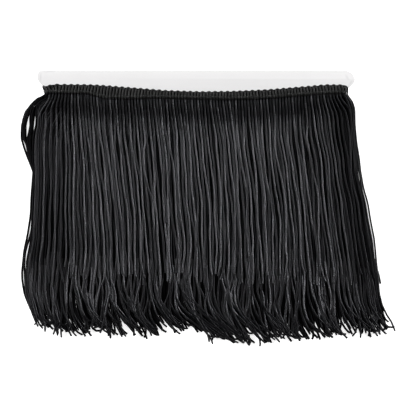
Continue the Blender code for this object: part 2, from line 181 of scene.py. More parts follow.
LEFT_RIM = table_of(
    LeftRimRow,
    (138.0, -196.4, -195.6, -194.8, -194.2, -193.2, -192.4), (130.8, -205.7, -203.9, -202.2, -200.6, -198.8, -197.2),
    (124.8, -211.5, -210.4, -209.4, -208.6, -205.1, -203.4), (119.0, -217.0, -215.6, -214.2, -212.7, -209.2, -207.2),
    (115.8, -219.0, -217.0, -214.9, -212.7, -210.4, -208.2), (112.8, -220.4, -218.2, -216.0, -213.7, -211.3, -208.9),
    (108.6, -221.7, -219.8, -217.4, -213.9, -211.6, -209.4), (105.6, -222.4, -220.6, -218.2, -213.6, -211.6, -209.8),
    (99.0, -223.8, -221.9, -219.6, -213.6, -211.8, -210.8), (93.6, -224.2, -222.2, -219.6, -214.2, -212.4, -210.8),
    (87.6, -224.2, -222.0, -219.4, -216.6, -214.2, -211.8), (84.0, -224.2, -221.9, -219.5, -217.1, -214.7, -212.3),
    (81.6, -224.2, -220.2, -219.2, -216.8, -214.4, -212.2), (75.6, -222.0, -218.0, -216.9, -215.4, -213.4, -211.4),
    (69.6, -220.1, -216.7, -215.4, -213.6, -212.4, -210.5), (64.8, -218.5, -216.0, -214.1, -212.9, -211.0, -209.4),
    (60.0, -216.5, -214.4, -212.8, -211.9, -208.6, -207.2), (51.6, -212.8, -211.0, -209.4, -208.0, -206.6, -205.2),
    (43.2, -209.9, -208.9, -207.3, -206.4, -205.4, -204.1), (15.6, -212.3, -209.4, -207.6, -206.6, -205.4, -204.0),
    (-8.4, -213.3, -209.0, -207.7, -206.6, -205.6, -204.6), (-32.4, -216.9, -213.2, -210.7, -209.2, -207.8, -206.4),
    (-50.4, -221.0, -219.2, -214.3, -212.6, -211.0, -209.4), (-64.8, -222.4, -220.9, -216.7, -215.0, -213.4, -211.8),
    (-80.4, -224.0, -220.0, -218.7, -217.0, -215.6, -214.2), (-92.4, -222.6, -219.4, -218.1, -216.4, -215.0, -213.6),
    (-104.4, -220.4, -218.0, -215.7, -214.8, -213.6, -212.4),
    (-122.4, -212.8, -210.8, -208.9, -207.6, -206.2, -204.6),
    (-140.4, -198.6, -197.4, -195.6, -195.0, -193.8, -192.6))
RIGHT_RIM = table_of(
    RightRimRow,
    (138.0, 166.6, 165.2, 163.8), (132.0, 170.0, 167.8, 165.4), (126.0, 173.9, 171.4, 168.0),
    (117.6, 175.9, 173.6, 170.8), (99.6, 176.3, 174.4, 172.2), (79.2, 178.1, 175.9, 173.5),
    (57.6, 181.8, 179.4, 175.8), (45.6, 183.2, 181.3, 176.3), (33.6, 185.3, 183.3, 179.2),
    (24.0, 186.8, 183.9, 181.7), (7.2, 192.0, 188.4, 186.0), (-14.4, 195.4, 191.8, 189.2),
    (-39.6, 200.3, 196.9, 194.0), (-63.6, 201.7, 199.3, 199.2), (-79.2, 203.6, 201.1, 204.8),
    (-90.0, 204.5, 201.6, 207.4), (-102.0, 205.3, 202.3, 208.6), (-116.4, 208.9, 204.7, 210.0),
    (-127.2, 213.9, 208.9, 211.0), (-136.8, 220.2, 213.0, 212.0), (-148.0, 224.6, 218.0, 213.0))
HEM = table_of(
    HemRow,
    (-212.0, -131.0), (-199.0, -141.0), (-178.0, -150.0), (-156.0, -154.5), (-130.0, -155.0), (-107.0, -153.0),
    (-77.0, -154.5), (-56.0, -154.5), (-48.0, -141.0), (-40.0, -154.5), (-25.0, -147.0), (-6.0, -161.0),
    (14.0, -165.0), (36.0, -165.0), (52.0, -162.0), (70.0, -163.0), (88.0, -157.5), (100.0, -161.0), (114.0, -157.5),
    (157.0, -157.5), (174.0, -150.5), (193.0, -154.0), (212.0, -151.0), (224.0, -147.5))
STRAYS = table_of(
    StrayEnd,
    (-178.0, -152.5, 16.0, -0.3), (-158.0, -154.5, 14.0, 0.5), (-148.0, -152.5, 15.0, 0.8),
    (-128.0, -154.0, 17.0, 2.5), (-115.0, -156.5, 12.0, -0.9), (-106.0, -152.5, 11.0, -0.3),
    (-96.0, -152.5, 12.0, 0.6), (-77.0, -154.5, 10.0, -0.9), (-68.0, -154.5, 10.0, 0.5), (-52.0, -154.0, 15.0, -1.9),
    (-37.0, -153.5, 13.0, 0.5), (-6.0, -160.5, 12.0, -0.6), (5.0, -160.5, 12.0, 0.4), (15.0, -165.5, 14.0, 0.2),
    (36.0, -165.5, 13.0, 0.3), (64.0, -163.0, 12.0, -0.8), (76.0, -159.5, 12.0, 0.4), (100.0, -161.0, 14.0, 0.5),
    (133.0, -158.5, 12.0, 0.3), (157.0, -157.0, 12.0, 0.4))


def smooth(value: float) -> float:
    """Ease a value from 0 to 1."""
    value = min(1.0, max(0.0, value))
    return value * value * (3.0 - 2.0 * value)


def column(rows: Sequence[Any], key: str, name: str, at: float) -> float:
    """Interpolate one column of a table.

    Args:
        rows: The table's rows, whose key column rises or falls all the way.
        key: Name of the column that is looked up.
        name: Name of the column that is wanted.
        at: Value of the key column.

    Returns:
        The wanted column's value, held at the table's ends.
    """
    keys = [getattr(row, key) for row in rows]
    values = [getattr(row, name) for row in rows]
    if keys[0] > keys[-1]:
        keys.reverse()
        values.reverse()
    return float(np.interp(at, keys, values))


def run_lengths(path: np.ndarray) -> np.ndarray:
    """Return how far along a path each of its points is."""
    return np.concatenate(([0.0], np.cumsum(np.linalg.norm(np.diff(path, axis=0), axis=1))))


def unit_rows(vectors: np.ndarray) -> np.ndarray:
    """Return vectors at length 1."""
    return vectors / np.maximum(np.linalg.norm(vectors, axis=1, keepdims=True), 1e-9)


def windows(values: np.ndarray, reach: int) -> np.ndarray:
    """Return each value with its neighbours on both sides, as one row each."""
    return np.lib.stride_tricks.sliding_window_view(np.pad(values, reach, mode="edge"), 2 * reach + 1)


def wander(across: float, down: float, level: float) -> float:
    """Return a smooth chance value between -1 and 1; the level keeps one use apart from the next."""
    return noise.noise(Vector((across, down, level)))


@dataclass(frozen=True)
class Stretch:
    """One straight run or one fold of the heading belt."""

    turn: Turn
    start: float
    end: float
    height: float
    radius: float
    angle: float
    rows: tuple[HeadRow, ...]

    @property
    def length(self) -> float:
        """Length of the stretch along the belt."""
        return self.radius * abs(self.angle) if self.angle else abs(self.end - self.start)

    def centre(self, along: float) -> Point:
        """Return the middle of the belt at a place on the stretch.

        Args:
            along: Distance from the start of the stretch.

        Returns:
            Its x, its z and the angle of the outward direction from straight up.
        """
        if not self.angle:
            way = 1.0 if self.end > self.start else -1.0
            return self.start + way * along, self.height, 0.0 if way > 0.0 else math.pi
        turned = along / self.radius
        facing = turned if self.angle > 0.0 else math.pi + turned
        x = self.start + self.radius * math.sin(facing)
        return x, self.height + self.radius * math.cos(facing), facing


@dataclass(frozen=True)
class Spot:
    """A place on the belt: its middle, the angle it faces, its top and bottom edge and its turn."""

    x: float
    z: float
    facing: float
    top: float
    bottom: float
    turn: Turn


@dataclass
class HeadingBelt:
    """The heading as one belt that is wound one and a half times round the bar."""

    left: float = -191.4
    right: float = 162.0
    inner_start: float = -190.4
    back_z: float = 1.25
    inner_z: float = 8.3
    outer_z: float = 10.7
    bend: float = math.radians(86.0)
    spread_bend: float = 0.05
    left_rise: float = 20.0
    right_rise: float = 5.0
    spread_y: float = 138.2
    spread_power: int = 5
    table_gap: float = 0.1
    stretches: list[Stretch] = field(init=False)
    starts: list[float] = field(init=False)

    def __post_init__(self) -> None:
        """Lay the stretches end to end."""
        right_z = 0.5 * (self.inner_z + self.back_z)
        left_z = 0.5 * (self.outer_z + self.back_z)
        right_fold = (HeadRow(0.0, INNER_HEAD[-1].top, INNER_HEAD[-1].bottom),
                      HeadRow(1.0, BACK_HEAD[-1].top, BACK_HEAD[-1].bottom))
        left_fold = (HeadRow(0.0, BACK_HEAD[0].top, BACK_HEAD[0].bottom),
                     HeadRow(1.0, OUTER_HEAD[0].top, OUTER_HEAD[0].bottom))
        left, right = self.left, self.right
        self.stretches = [
            Stretch(Turn.INNER, self.inner_start, right, self.inner_z, 0.0, 0.0, INNER_HEAD),
            Stretch(Turn.INNER, right, right, right_z, self.inner_z - right_z, math.pi, right_fold),
            Stretch(Turn.BACK, right, left, self.back_z, 0.0, 0.0, BACK_HEAD),
            Stretch(Turn.BACK, left, left, left_z, self.outer_z - left_z, -math.pi, left_fold),
            Stretch(Turn.OUTER, left, right, self.outer_z, 0.0, 0.0, OUTER_HEAD),
            Stretch(Turn.OUTER, right, right, right_z, self.outer_z - right_z, self.bend, BEND_HEAD),
        ]
        self.starts = [sum(part.length for part in self.stretches[:n]) for n in range(len(self.stretches))]

    @property
    def length(self) -> float:
        """Whole length of the belt."""
        return sum(part.length for part in self.stretches)

    def spot(self, t: float) -> Spot:
        """Look up a place on the belt.

        Args:
            t: Distance along the belt.

        Returns:
            The place, held at the belt's ends.
        """
        t = min(max(t, 0.0), self.length)
        index = max(n for n, start in enumerate(self.starts) if t >= start)
        part = self.stretches[index]
        along = min(t - self.starts[index], part.length)
        x, z, facing = part.centre(along)
        at = along / part.length if part.angle else x
        top = column(part.rows, "at", "top", at)
        bottom = column(part.rows, "at", "bottom", at)
        return Spot(x, z, facing, top, bottom, part.turn)

    def point(self, t: float, y: float, offset: float) -> Point:
        """Return a point on the belt.

        Args:
            t: Distance along the belt; past its ends the belt runs straight on.
            y: Height of the point.
            offset: Distance outwards from the middle of the belt.

        Returns:
            The point in the design frame.
        """
        spot = self.spot(t)
        past = t - min(max(t, 0.0), self.length)
        side = math.sin(spot.facing)
        up = math.cos(spot.facing)
        x = spot.x + side * offset + past * up
        middle = 0.5 * (self.left + self.right)
        half = 0.5 * (self.right - self.left)
        rise = min(max(0.0, y - self.spread_y), self.right_rise if spot.x > middle else self.left_rise)
        x += self.spread_bend * rise * rise * ((spot.x - middle) / half) ** self.spread_power
        return x, y, max(self.table_gap, spot.z + up * offset - past * side)


@dataclass(frozen=True)
class Levels:
    """Levels of the noise, which keep the strands' kinds of wander apart."""

    clump: float = 3.7
    stray: float = 0.5
    kink: float = 7.5
    low: float = 20.1
    low_own: float = 30.3
    change: float = 8.1
    change_own: tuple[float, float] = (9.0, 2.0)
    early: float = 5.3


@dataclass
class StrandFlow:
    """How the mass of strands spreads, drifts and sweeps below the heading."""

    left_edge: float = -190.4
    right_edge: float = 159.2
    bow_reach: float = 9.0
    wide_ys: tuple[float, ...] = (112.0, 90.0, 20.0, -40.0, -100.0, -140.0)
    ramp_start: float = -178.0
    ramp_end: float = -134.0
    fan_start: float = 64.7
    fan_low: float = 50.0
    fan_rise: float = 60.0
    fan_calm: float = 0.5
    fan_bind: float = 0.7
    rim_calm: float = 0.8
    near_y: float = 128.0
    wave_size: float = 1.3
    wave_length: float = 190.0
    wave_lean: float = 0.5
    wave_phase: float = 0.4
    wave_growth: float = 55.0
    clump_size: float = 2.0
    clump_grain: tuple[float, float] = (12.0, 85.0)
    stray_size: float = 2.6
    stray_grain: float = 55.0
    kink_size: float = 0.7
    kink_grain: float = 18.0
    low_start: float = -55.0
    low_growth: float = 60.0
    low_size: float = 8.0
    low_grain: tuple[float, float] = (17.0, 60.0)
    low_own: float = 0.85
    low_own_grain: float = 40.0
    sweep_start: float = -110.0
    sweep_full: float = -142.0
    sweep_slope: float = 1.05
    sweep_change: float = 0.6
    change_grain: float = 21.0
    sweep_own: float = 0.8
    sweep_early: float = 22.0
    early_grain: float = 13.0
    left_calm: float = 0.35
    left_calm_start: float = -60.0
    left_calm_rise: float = 50.0
    calm: float = 0.45
    calm_start: float = -38.0
    calm_end: float = 110.0
    calm_rise: float = 35.0
    grid_size: int = 240
    levels: Levels = Levels()

    def sweep(self, y: float) -> float:
        """Return the sideways sweep of the lowest ends at a height.

        Args:
            y: The height.

        Returns:
            How far a strand is swept to the right there, before its own changes.
        """
        span = self.sweep_start - self.sweep_full
        past = self.sweep_start - y
        if past <= 0.0:
            return 0.0
        if past <= span:
            return 0.5 * self.sweep_slope * past * past / span
        return 0.5 * self.sweep_slope * span + self.sweep_slope * (past - span)

    def shares(self, root: float) -> tuple[float, float, float]:
        """Return how much a strand takes of the left bow, the drift and the right fan.

        Args:
            root: The strand's place along the heading.

        Returns:
            The three shares, each from 0 to 1.
        """
        left = math.exp(-max(0.0, root - self.left_edge) / self.bow_reach)
        middle = smooth((root - self.ramp_start) / (self.ramp_end - self.ramp_start))
        right = min(1.0, max(0.0, (root - self.fan_start) / (self.right_edge - self.fan_start))) ** 2
        return left, middle * (1.0 - right), right

    def fan(self, right: float, y: float) -> float:
        """Return a strand's share of the right fan at a height; near the heading only the last strands fan out."""
        return right ** (1.0 + smooth((y - self.fan_low) / self.fan_rise))

    def upright(self, root: float) -> float:
        """Return how much a strand hangs straight down to its end, from 0 to 1."""
        past = smooth((root - self.calm_end) / self.calm_rise)
        return smooth((root - self.calm_start) / self.calm_rise) * (1.0 - past)

    def even_roots(self, count: int) -> np.ndarray:
        """Spread the lanes so that the strands leave the same room where each part of the mass is widest.

        Args:
            count: How many strands share the width.

        Returns:
            The lanes' roots from left to right.
        """
        grid = np.linspace(self.left_edge, self.right_edge, self.grid_size)
        wide = np.zeros(len(grid) - 1)
        for y in self.wide_ys:
            bow = column(FLOW, "y", "left", y)
            fan = column(FLOW, "y", "right", y)
            drift = column(FLOW, "y", "drift", y)
            across = []
            for root in grid:
                left, middle, right = self.shares(float(root))
                across.append(root + left * bow + middle * drift + self.fan(right, y) * fan)
            wide = np.maximum(wide, np.diff(across))
        reached = np.concatenate(([0.0], np.cumsum(wide)))
        return np.interp(np.linspace(0.0, reached[-1], count), reached, grid)

    def lane(self, root: float, y: float, layer: float, seed: float, loose: float, own: float) -> float:
        """Return where a strand lies at a height.

        Args:
            root: The strand's place along the heading.
            y: The height that is asked for.
            layer: Number of the layer, which has clumps of its own.
            seed: Number that makes this strand's own wander.
            loose: How freely this strand wanders with its neighbours, 1 for most.
            own: How freely it wanders by itself, 1 for most.

        Returns:
            The strand's x.
        """
        levels = self.levels
        left, middle, right = self.shares(root)
        x = root + left * column(FLOW, "y", "left", y) + self.fan(right, y) * column(FLOW, "y", "right", y)
        x += middle * column(FLOW, "y", "drift", y)
        grown = smooth((self.near_y - y) / self.wave_growth)
        free = grown * (1.0 - left) * (1.0 - self.fan_calm * right)
        x += self.wave_size * free * math.sin(
            math.tau * (root + self.wave_lean * y) / self.wave_length + self.wave_phase)
        across, down = self.clump_grain
        x += self.clump_size * loose * free * wander(root / across, y / down, levels.clump + layer)
        x += self.stray_size * own * free * wander(seed, y / self.stray_grain, levels.stray)
        x += self.kink_size * own * free * wander(seed, y / self.kink_grain, levels.kink)
        low = smooth((self.low_start - y) / self.low_growth)
        low = low * (1.0 - self.rim_calm * left) * (1.0 - self.rim_calm * right)
        across, down = self.low_grain
        x += self.low_size * loose * low * wander(root / across, y / down, levels.low + layer)
        x += self.low_own * self.low_size * own * low * wander(seed, y / self.low_own_grain, levels.low_own)
        freely = loose * loose * (1.0 - self.fan_bind * right)
        change = self.sweep_change * freely * wander(root / self.change_grain, layer, levels.change)
        change += self.sweep_own * own * wander(seed, *levels.change_own)
        early = self.sweep_early * freely * wander(root / self.early_grain, layer, levels.early)
        gentle = 1.0 - self.left_calm * smooth((self.left_calm_start - root) / self.left_calm_rise) * (1.0 - left)
        gentle -= self.calm * self.upright(root)
        return x + self.sweep(y + early) * (gentle + change)


@dataclass
class Pile:
    """A height map of all that lies on the table so far."""

    low: tuple[float, float] = (-240.0, -185.0)
    high: tuple[float, float] = (240.0, 170.0)
    cell: float = 0.5
    feel: tuple[float, int] = (0.9, 7)
    stamp: tuple[float, int] = (0.95, 9)
    stamp_step: float = 0.8
    heights: np.ndarray = field(init=False)

    def __post_init__(self) -> None:
        """Start with a bare table."""
        wide = int((self.high[0] - self.low[0]) / self.cell) + 1
        deep = int((self.high[1] - self.low[1]) / self.cell) + 1
        self.heights = np.zeros((wide, deep))

    def cells(self, xy: np.ndarray) -> tuple[np.ndarray, np.ndarray]:
        """Return the map's indices under some points.

        Args:
            xy: The points, with x and y in the last axis.

        Returns:
            Their indices across and along, held inside the map.
        """
        spots = np.rint((xy - np.array(self.low)) / self.cell).astype(int)
        wide, deep = self.heights.shape
        return np.clip(spots[..., 0], 0, wide - 1), np.clip(spots[..., 1], 0, deep - 1)

    def across(self, path: np.ndarray) -> np.ndarray:
        """Return the sideways direction at each point of a path."""
        along = unit_rows(np.gradient(path, axis=0))
        return np.stack((-along[:, 1], along[:, 0]), axis=1)

    def contact(self, path: np.ndarray, half: float, thick: float) -> np.ndarray:
        """Return how high a cord's underside comes to rest along a path.

        Args:
            path: Points of the cord's middle, as rows of x and y.
            half: Half of the cord's width.
            thick: Half of the cord's thickness.

        Returns:
            The height of the lowest point of the section, at each point.
        """
        sideways = self.across(path)
        best = np.zeros(len(path))
        side, count = self.feel
        for share in np.linspace(-side, side, count):
            found = self.heights[self.cells(path + sideways * share * half)]
            best = np.maximum(best, found - thick * (1.0 - math.sqrt(1.0 - share * share)))
        return best

    def press(self, path: np.ndarray, base: np.ndarray, half: float, thick: float) -> None:
        """Add a cord to the map.

        Args:
            path: Points of the cord's middle, as rows of x and y.
            base: Height of its underside at each point.
            half: Half of the cord's width.
            thick: Half of the cord's thickness.
        """
        along = run_lengths(path)
        fine = np.arange(0.0, along[-1], self.stamp_step * self.cell)
        dense = np.stack((np.interp(fine, along, path[:, 0]), np.interp(fine, along, path[:, 1])), axis=1)
        under = np.interp(fine, along, base)
        sideways = self.across(dense)
        side, count = self.stamp
        for share in np.linspace(-side, side, count):
            spots = self.cells(dense + sideways * share * half)
            np.maximum.at(self.heights, spots, under + thick * (1.0 + math.sqrt(1.0 - share * share)))

    def block(self, x_low: float, x_high: float, y_low: float, y_high: float, height: float) -> None:
        """Raise a rectangle of the map to a height.

        Args:
            x_low: Left side.
            x_high: Right side.
            y_low: Lower side.
            y_high: Upper side.
            height: Least height inside it.
        """
        first, last = self.cells(np.array(((x_low, y_low), (x_high, y_high))))
        area = self.heights[first[0]:first[1] + 1, last[0]:last[1] + 1]
        np.maximum(area, height, out=area)


@dataclass(frozen=True)
class RingPlan:
    """How far apart a strand's cross-sections are: closer near its root and towards its end."""

    root_reach: float = 26.0
    root_gap: float = 3.8
    body_gap: float = 8.0
    low_reach: float = 55.0
    low_gap: float = 5.5
    tip_reach: float = 18.0
    tip_gap: float = 3.4
    root_room: float = 1.5
    tip_room: float = 2.5

    def gap(self, place: float, left: float) -> float:
        """Return the gap between cross-sections at a place.

        Args:
            place: Distance from the root.
            left: Length still left to the end.

        Returns:
            The least distance to the next cross-section.
        """
        if left < self.low_reach:
            return self.tip_gap if left < self.tip_reach else self.low_gap
        return self.root_gap if place < self.root_reach else self.body_gap


@dataclass
class Leg:
    """One strand, from the heading's lower edge to its cut end."""

    t: float
    turn: Turn
    under: bool
    root: Point
    half: float
    thick: float
    path: np.ndarray = field(init=False)
    base: np.ndarray = field(init=False)
    wanders: bool = False
    shade_shift: float = 0.0
    # Least painted shade that this strand takes.
    shade_level: Look = Look.LIT_SATIN
    ease_reach: int = 4
    lead: float = 6.0

    def settle(self, pile: Pile, drop: float, cap: float) -> None:
        """Let the strand come to rest on the pile.

        Args:
            pile: The height map, which then holds this strand too.
            drop: How far below the heading the strand takes to come down.
            cap: Height that the pressed pile below it comes close to but doesn't pass.
        """
        along = run_lengths(self.path)
        resting = pile.contact(self.path, self.half, self.thick)
        raised = windows(resting, self.ease_reach).max(axis=1)
        kernel = np.hanning(2 * self.ease_reach + 3)[1:-1]
        eased = windows(raised, self.ease_reach) @ (kernel / kernel.sum())
        eased = cap * np.tanh(eased / cap)
        start = max(0.0, self.root[2] - self.thick)
        share = np.clip(along / drop, 0.0, 1.0)
        hanging = start * (1.0 - share * share * (3.0 - 2.0 * share))
        base = np.maximum(eased, hanging)
        lead = np.clip(along / self.lead, 0.0, 1.0)
        self.base = start * (1.0 - lead) + base * lead
        pile.press(self.path, self.base, self.half, self.thick)

    def rings(self, plan: RingPlan) -> list[int]:
        """Choose the points of the path that get a cross-section.

        Args:
            plan: How far apart they are.

        Returns:
            The points' numbers, from the root to the end.
        """
        along = run_lengths(self.path)
        kept = []
        last = -plan.body_gap
        for number, place in enumerate(along):
            left = along[-1] - place
            near = place <= plan.root_room or left <= plan.tip_room
            if not near and place - last >= plan.gap(place, left):
                kept.append(number)
                last = place
        return kept + [len(along) - 1]


@dataclass
class CordSkin:
    """Grows many cords as closed tubes in one mesh, with a UV map along and round each cord."""

    name: str
    sides: int = 6
    points: list[np.ndarray] = field(default_factory=list)
    faces: list[tuple[int, ...]] = field(default_factory=list)
    uvs: list[tuple[float, float]] = field(default_factory=list)
    looks: list[int] = field(default_factory=list)
    tones: list[float] = field(default_factory=list)
    ends: list[int] = field(default_factory=list)
    count: int = 0

    def add(self, centres: np.ndarray, normals: np.ndarray, halves: np.ndarray, thicks: np.ndarray,
            look: np.ndarray, tone: float) -> None:
        """Add one cord.

        Args:
            centres: Middle of each cross-section, in millimetres.
            normals: Direction of each cross-section's thickness.
            halves: Half of the width at each cross-section.
            thicks: Half of the thickness at each cross-section.
            look: Number of the finish from each cross-section to the next.
            tone: How light this cord is, from -1 to 1.
        """
        tangents = unit_rows(np.gradient(centres, axis=0))
        sideways = unit_rows(np.cross(tangents, normals))
        upright = np.cross(sideways, tangents)
        angles = np.arange(self.sides) * math.tau / self.sides
        wide = np.cos(angles)[None, :, None] * sideways[:, None, :] * halves[:, None, None]
        tall = np.sin(angles)[None, :, None] * upright[:, None, :] * thicks[:, None, None]
        rings = centres[:, None, :] + wide + tall
        rows = len(centres)
        self.points.append(rings.reshape(-1, 3))
        along = run_lengths(centres)
        self.tones.extend([tone] * (rows * self.sides))
        first = self.count
        for row in range(rows - 1):
            low = first + row * self.sides
            high = low + self.sides
            for side in range(self.sides):
                after = (side + 1) % self.sides
                self.faces.append((low + side, high + side, high + after, low + after))
                self.looks.append(int(look[row]))
                near = side / self.sides
                far = (side + 1) / self.sides
                start, end = along[row], along[row + 1]
                self.uvs.extend(((near, start), (near, end), (far, end), (far, start)))
        for row, way in ((0, 1), (rows - 1, -1)):
            ring = tuple(first + row * self.sides + side for side in range(self.sides))[::way]
            self.faces.append(ring)
            self.ends.extend(ring)
            self.looks.append(int(look[row]))
            self.uvs.extend([(0.5, along[row])] * self.sides)
        self.count += rows * self.sides

    def build(self, shift: Vector, materials: Sequence[bpy.types.Material]) -> bpy.types.Object:
        """Make the mesh object.

        Args:
            shift: Move from the design frame to the row frame, in metres.
            materials: The finishes, numbered as the looks are.

        Returns:
            The finished object, at the origin.
        """
        data = bpy.data.meshes.new(self.name)
        verts = np.concatenate(self.points) * MM + np.array(shift)
        data.from_pydata(verts.tolist(), [], self.faces)
        layer = data.uv_layers.new(name="Cord")
        layer.data.foreach_set("uv", np.array(self.uvs, dtype=np.float32).ravel())
        tone = data.attributes.new("tone", "FLOAT", "POINT")
        tone.data.foreach_set("value", np.array(self.tones, dtype=np.float32))
        for finish in materials:
            data.materials.append(finish)
        data.polygons.foreach_set("material_index", np.array(self.looks, dtype=np.int32))
        data.polygons.foreach_set("use_smooth", np.array([len(face) == 4 for face in self.faces]))
        data.update()
        at_end = np.zeros(self.count, dtype=bool)
        at_end[self.ends] = True
        pairs = np.empty(2 * len(data.edges), dtype=np.int32)
        data.edges.foreach_get("vertices", pairs)
        sharp = data.attributes.new("sharp_edge", "BOOLEAN", "EDGE")
        sharp.data.foreach_set("value", at_end[pairs.reshape(-1, 2)].all(axis=1))
        made = bpy.data.objects.new(self.name, data)
        bpy.context.scene.collection.objects.link(made)
        return made


class NodeWriter:
    """Adds and links shader nodes in one node tree."""

    def __init__(self, tree: bpy.types.NodeTree) -> None:
        """Keep the tree that the nodes go into."""
        self.tree = tree

    def node(self, kind: str, **settings: Any) -> bpy.types.Node:
        """Add a node and give it its settings.

        Args:
            kind: The node's type.
            settings: Its properties by name.

        Returns:
            The node.
        """
        made = self.tree.nodes.new(kind)
        for name, value in settings.items():
            setattr(made, name, value)
        return made

    def feed(self, socket: bpy.types.NodeSocket, value: Any) -> None:
        """Link a socket to an output, or set it to a constant.

        Args:
            socket: The input.
            value: The output or the constant.
        """
        if isinstance(value, bpy.types.NodeSocket):
            self.tree.links.new(value, socket)
        else:
            socket.default_value = value

    def math(self, operation: str, *values: Any) -> bpy.types.NodeSocket:
        """Work out a sum.

        Args:
            operation: Name of the sum.
            values: Outputs or constants, in order.

        Returns:
            The result.
        """
        made = self.node("ShaderNodeMath", operation=operation)
        for socket, value in zip(made.inputs, values):
            self.feed(socket, value)
        return made.outputs[0]

    def spread(self, value: Any, low: Any, high: Any) -> bpy.types.NodeSocket:
        """Spread a value between two limits.

        Args:
            value: A value from 0 to 1.
            low: What 0 becomes.
            high: What 1 becomes.

        Returns:
            The value between the limits.
        """
        made = self.node("ShaderNodeMapRange")
        self.feed(made.inputs["Value"], value)
        self.feed(made.inputs["To Min"], low)
        self.feed(made.inputs["To Max"], high)
        return made.outputs["Result"]

    def blend(self, share: Any, first: Any, second: Any) -> bpy.types.NodeSocket:
        """Mix two colours.

        Args:
            share: 0 for the first colour, 1 for the second.
            first: A colour.
            second: Another colour.

        Returns:
            The colour between them.
        """
        made = self.node("ShaderNodeMix", data_type="RGBA")
        self.feed(made.inputs[0], share)
        self.feed(made.inputs[6], first)
        self.feed(made.inputs[7], second)
        return made.outputs[2]

    def bump(self, height: Any, strength: float, depth: float) -> bpy.types.NodeSocket:
        """Turn a height into a bump.

        Args:
            height: The height.
            strength: How strong the bump is.
            depth: How deep it is, in metres.

        Returns:
            The bumped normal.
        """
        made = self.node("ShaderNodeBump")
        made.inputs["Strength"].default_value = strength
        made.inputs["Distance"].default_value = depth
        self.feed(made.inputs["Height"], height)
        return made.outputs[0]

    def place(self, group: bpy.types.NodeTree, **values: Any) -> bpy.types.Node:
        """Place a node group with its own values.

        Args:
            group: The group.
            values: Values of its inputs by name.

        Returns:
            The group's node.
        """
        made = self.node("ShaderNodeGroup", node_tree=group)
        for name, value in values.items():
            self.feed(made.inputs[name], value)
        return made


@dataclass(frozen=True)
class Effects:
    """Shader node groups that several finishes share."""

    knit: bpy.types.NodeTree
    grain: bpy.types.NodeTree
    slant: ClassVar[float] = 1.3
    groove_power: ClassVar[float] = 4.0
    stitch_shade: ClassVar[tuple[float, float]] = (0.62, 1.12)

    @classmethod
    def build(cls) -> "Effects":
        """Build the groups once."""
        return cls(cls.knit_group(), cls.grain_group())

    @staticmethod
    def empty(
        name: str, inputs: Sequence[tuple[str, str]], outputs: Sequence[str]
    ) -> tuple[bpy.types.NodeTree, NodeWriter, bpy.types.Node, bpy.types.Node]:
        """Start a node group.

        Args:
            name: Name of the group.
            inputs: Name and socket kind of each input.
            outputs: Names of the outputs, which are all plain values.

        Returns:
            The group, its writer, and its input and output nodes.
        """
        group = bpy.data.node_groups.new(name, "ShaderNodeTree")
        for title, kind in inputs:
            group.interface.new_socket(title, in_out="INPUT", socket_type=kind)
        for title in outputs:
            group.interface.new_socket(title, in_out="OUTPUT", socket_type="NodeSocketFloat")
        writer = NodeWriter(group)
        return group, writer, writer.node("NodeGroupInput"), writer.node("NodeGroupOutput")

    @classmethod
    def knit_group(cls) -> bpy.types.NodeTree:
        """Build the knitted chain stitches of a cord.

        Returns:
            The group, which gives a height and a shade.
        """
        group, write, entry, leave = cls.empty(
            "knitted_chain",
            (("Cord", "NodeSocketVector"), ("Stitch", "NodeSocketFloat"), ("Wales", "NodeSocketFloat")),
            ("Height", "Shade"))
        parts = write.node("ShaderNodeSeparateXYZ")
        write.feed(parts.inputs[0], entry.outputs["Cord"])
        wale = write.math("MULTIPLY", parts.outputs[0], entry.outputs["Wales"])
        across = write.math("ABSOLUTE", write.math("SUBTRACT", write.math("FRACT", wale), 0.5))
        along = write.math("DIVIDE", parts.outputs[1], entry.outputs["Stitch"])
        slanted = write.math("ADD", along, write.math("MULTIPLY", across, cls.slant))
        sine = write.math("SINE", write.math("MULTIPLY", slanted, math.tau))
        wave = write.math("MULTIPLY_ADD", sine, 0.5, 0.5)
        flank = write.math("POWER", write.math("MULTIPLY", across, 2.0), cls.groove_power)
        height = write.math("MULTIPLY", wave, write.math("SUBTRACT", 1.0, flank))
        write.feed(leave.inputs["Height"], height)
        write.feed(leave.inputs["Shade"], write.spread(height, *cls.stitch_shade))
        return group

    @classmethod
    def grain_group(cls) -> bpy.types.NodeTree:
        """Build the irregular grain of fibres.

        Returns:
            The group, which gives a fine and a broad value from 0 to 1.
        """
        group, write, entry, leave = cls.empty(
            "fibre_grain",
            (("Place", "NodeSocketVector"), ("Fine", "NodeSocketFloat"), ("Broad", "NodeSocketFloat")),
            ("Fine", "Broad"))
        for title, detail in (("Fine", 4.0), ("Broad", 2.0)):
            made = write.node("ShaderNodeTexNoise")
            write.feed(made.inputs["Vector"], entry.outputs["Place"])
            write.feed(made.inputs["Scale"], entry.outputs[title])
            made.inputs["Detail"].default_value = detail
            write.feed(leave.inputs[title], made.outputs[0])
        return group


def new_material(name: str) -> tuple[bpy.types.Material, NodeWriter, bpy.types.Node]:
    """Start a material.

    Args:
        name: Name of the material.

    Returns:
        The material, its node writer and its Principled BSDF.
    """
    made = bpy.data.materials.new(name)
    made.use_nodes = True
    return made, NodeWriter(made.node_tree), made.node_tree.nodes["Principled BSDF"]


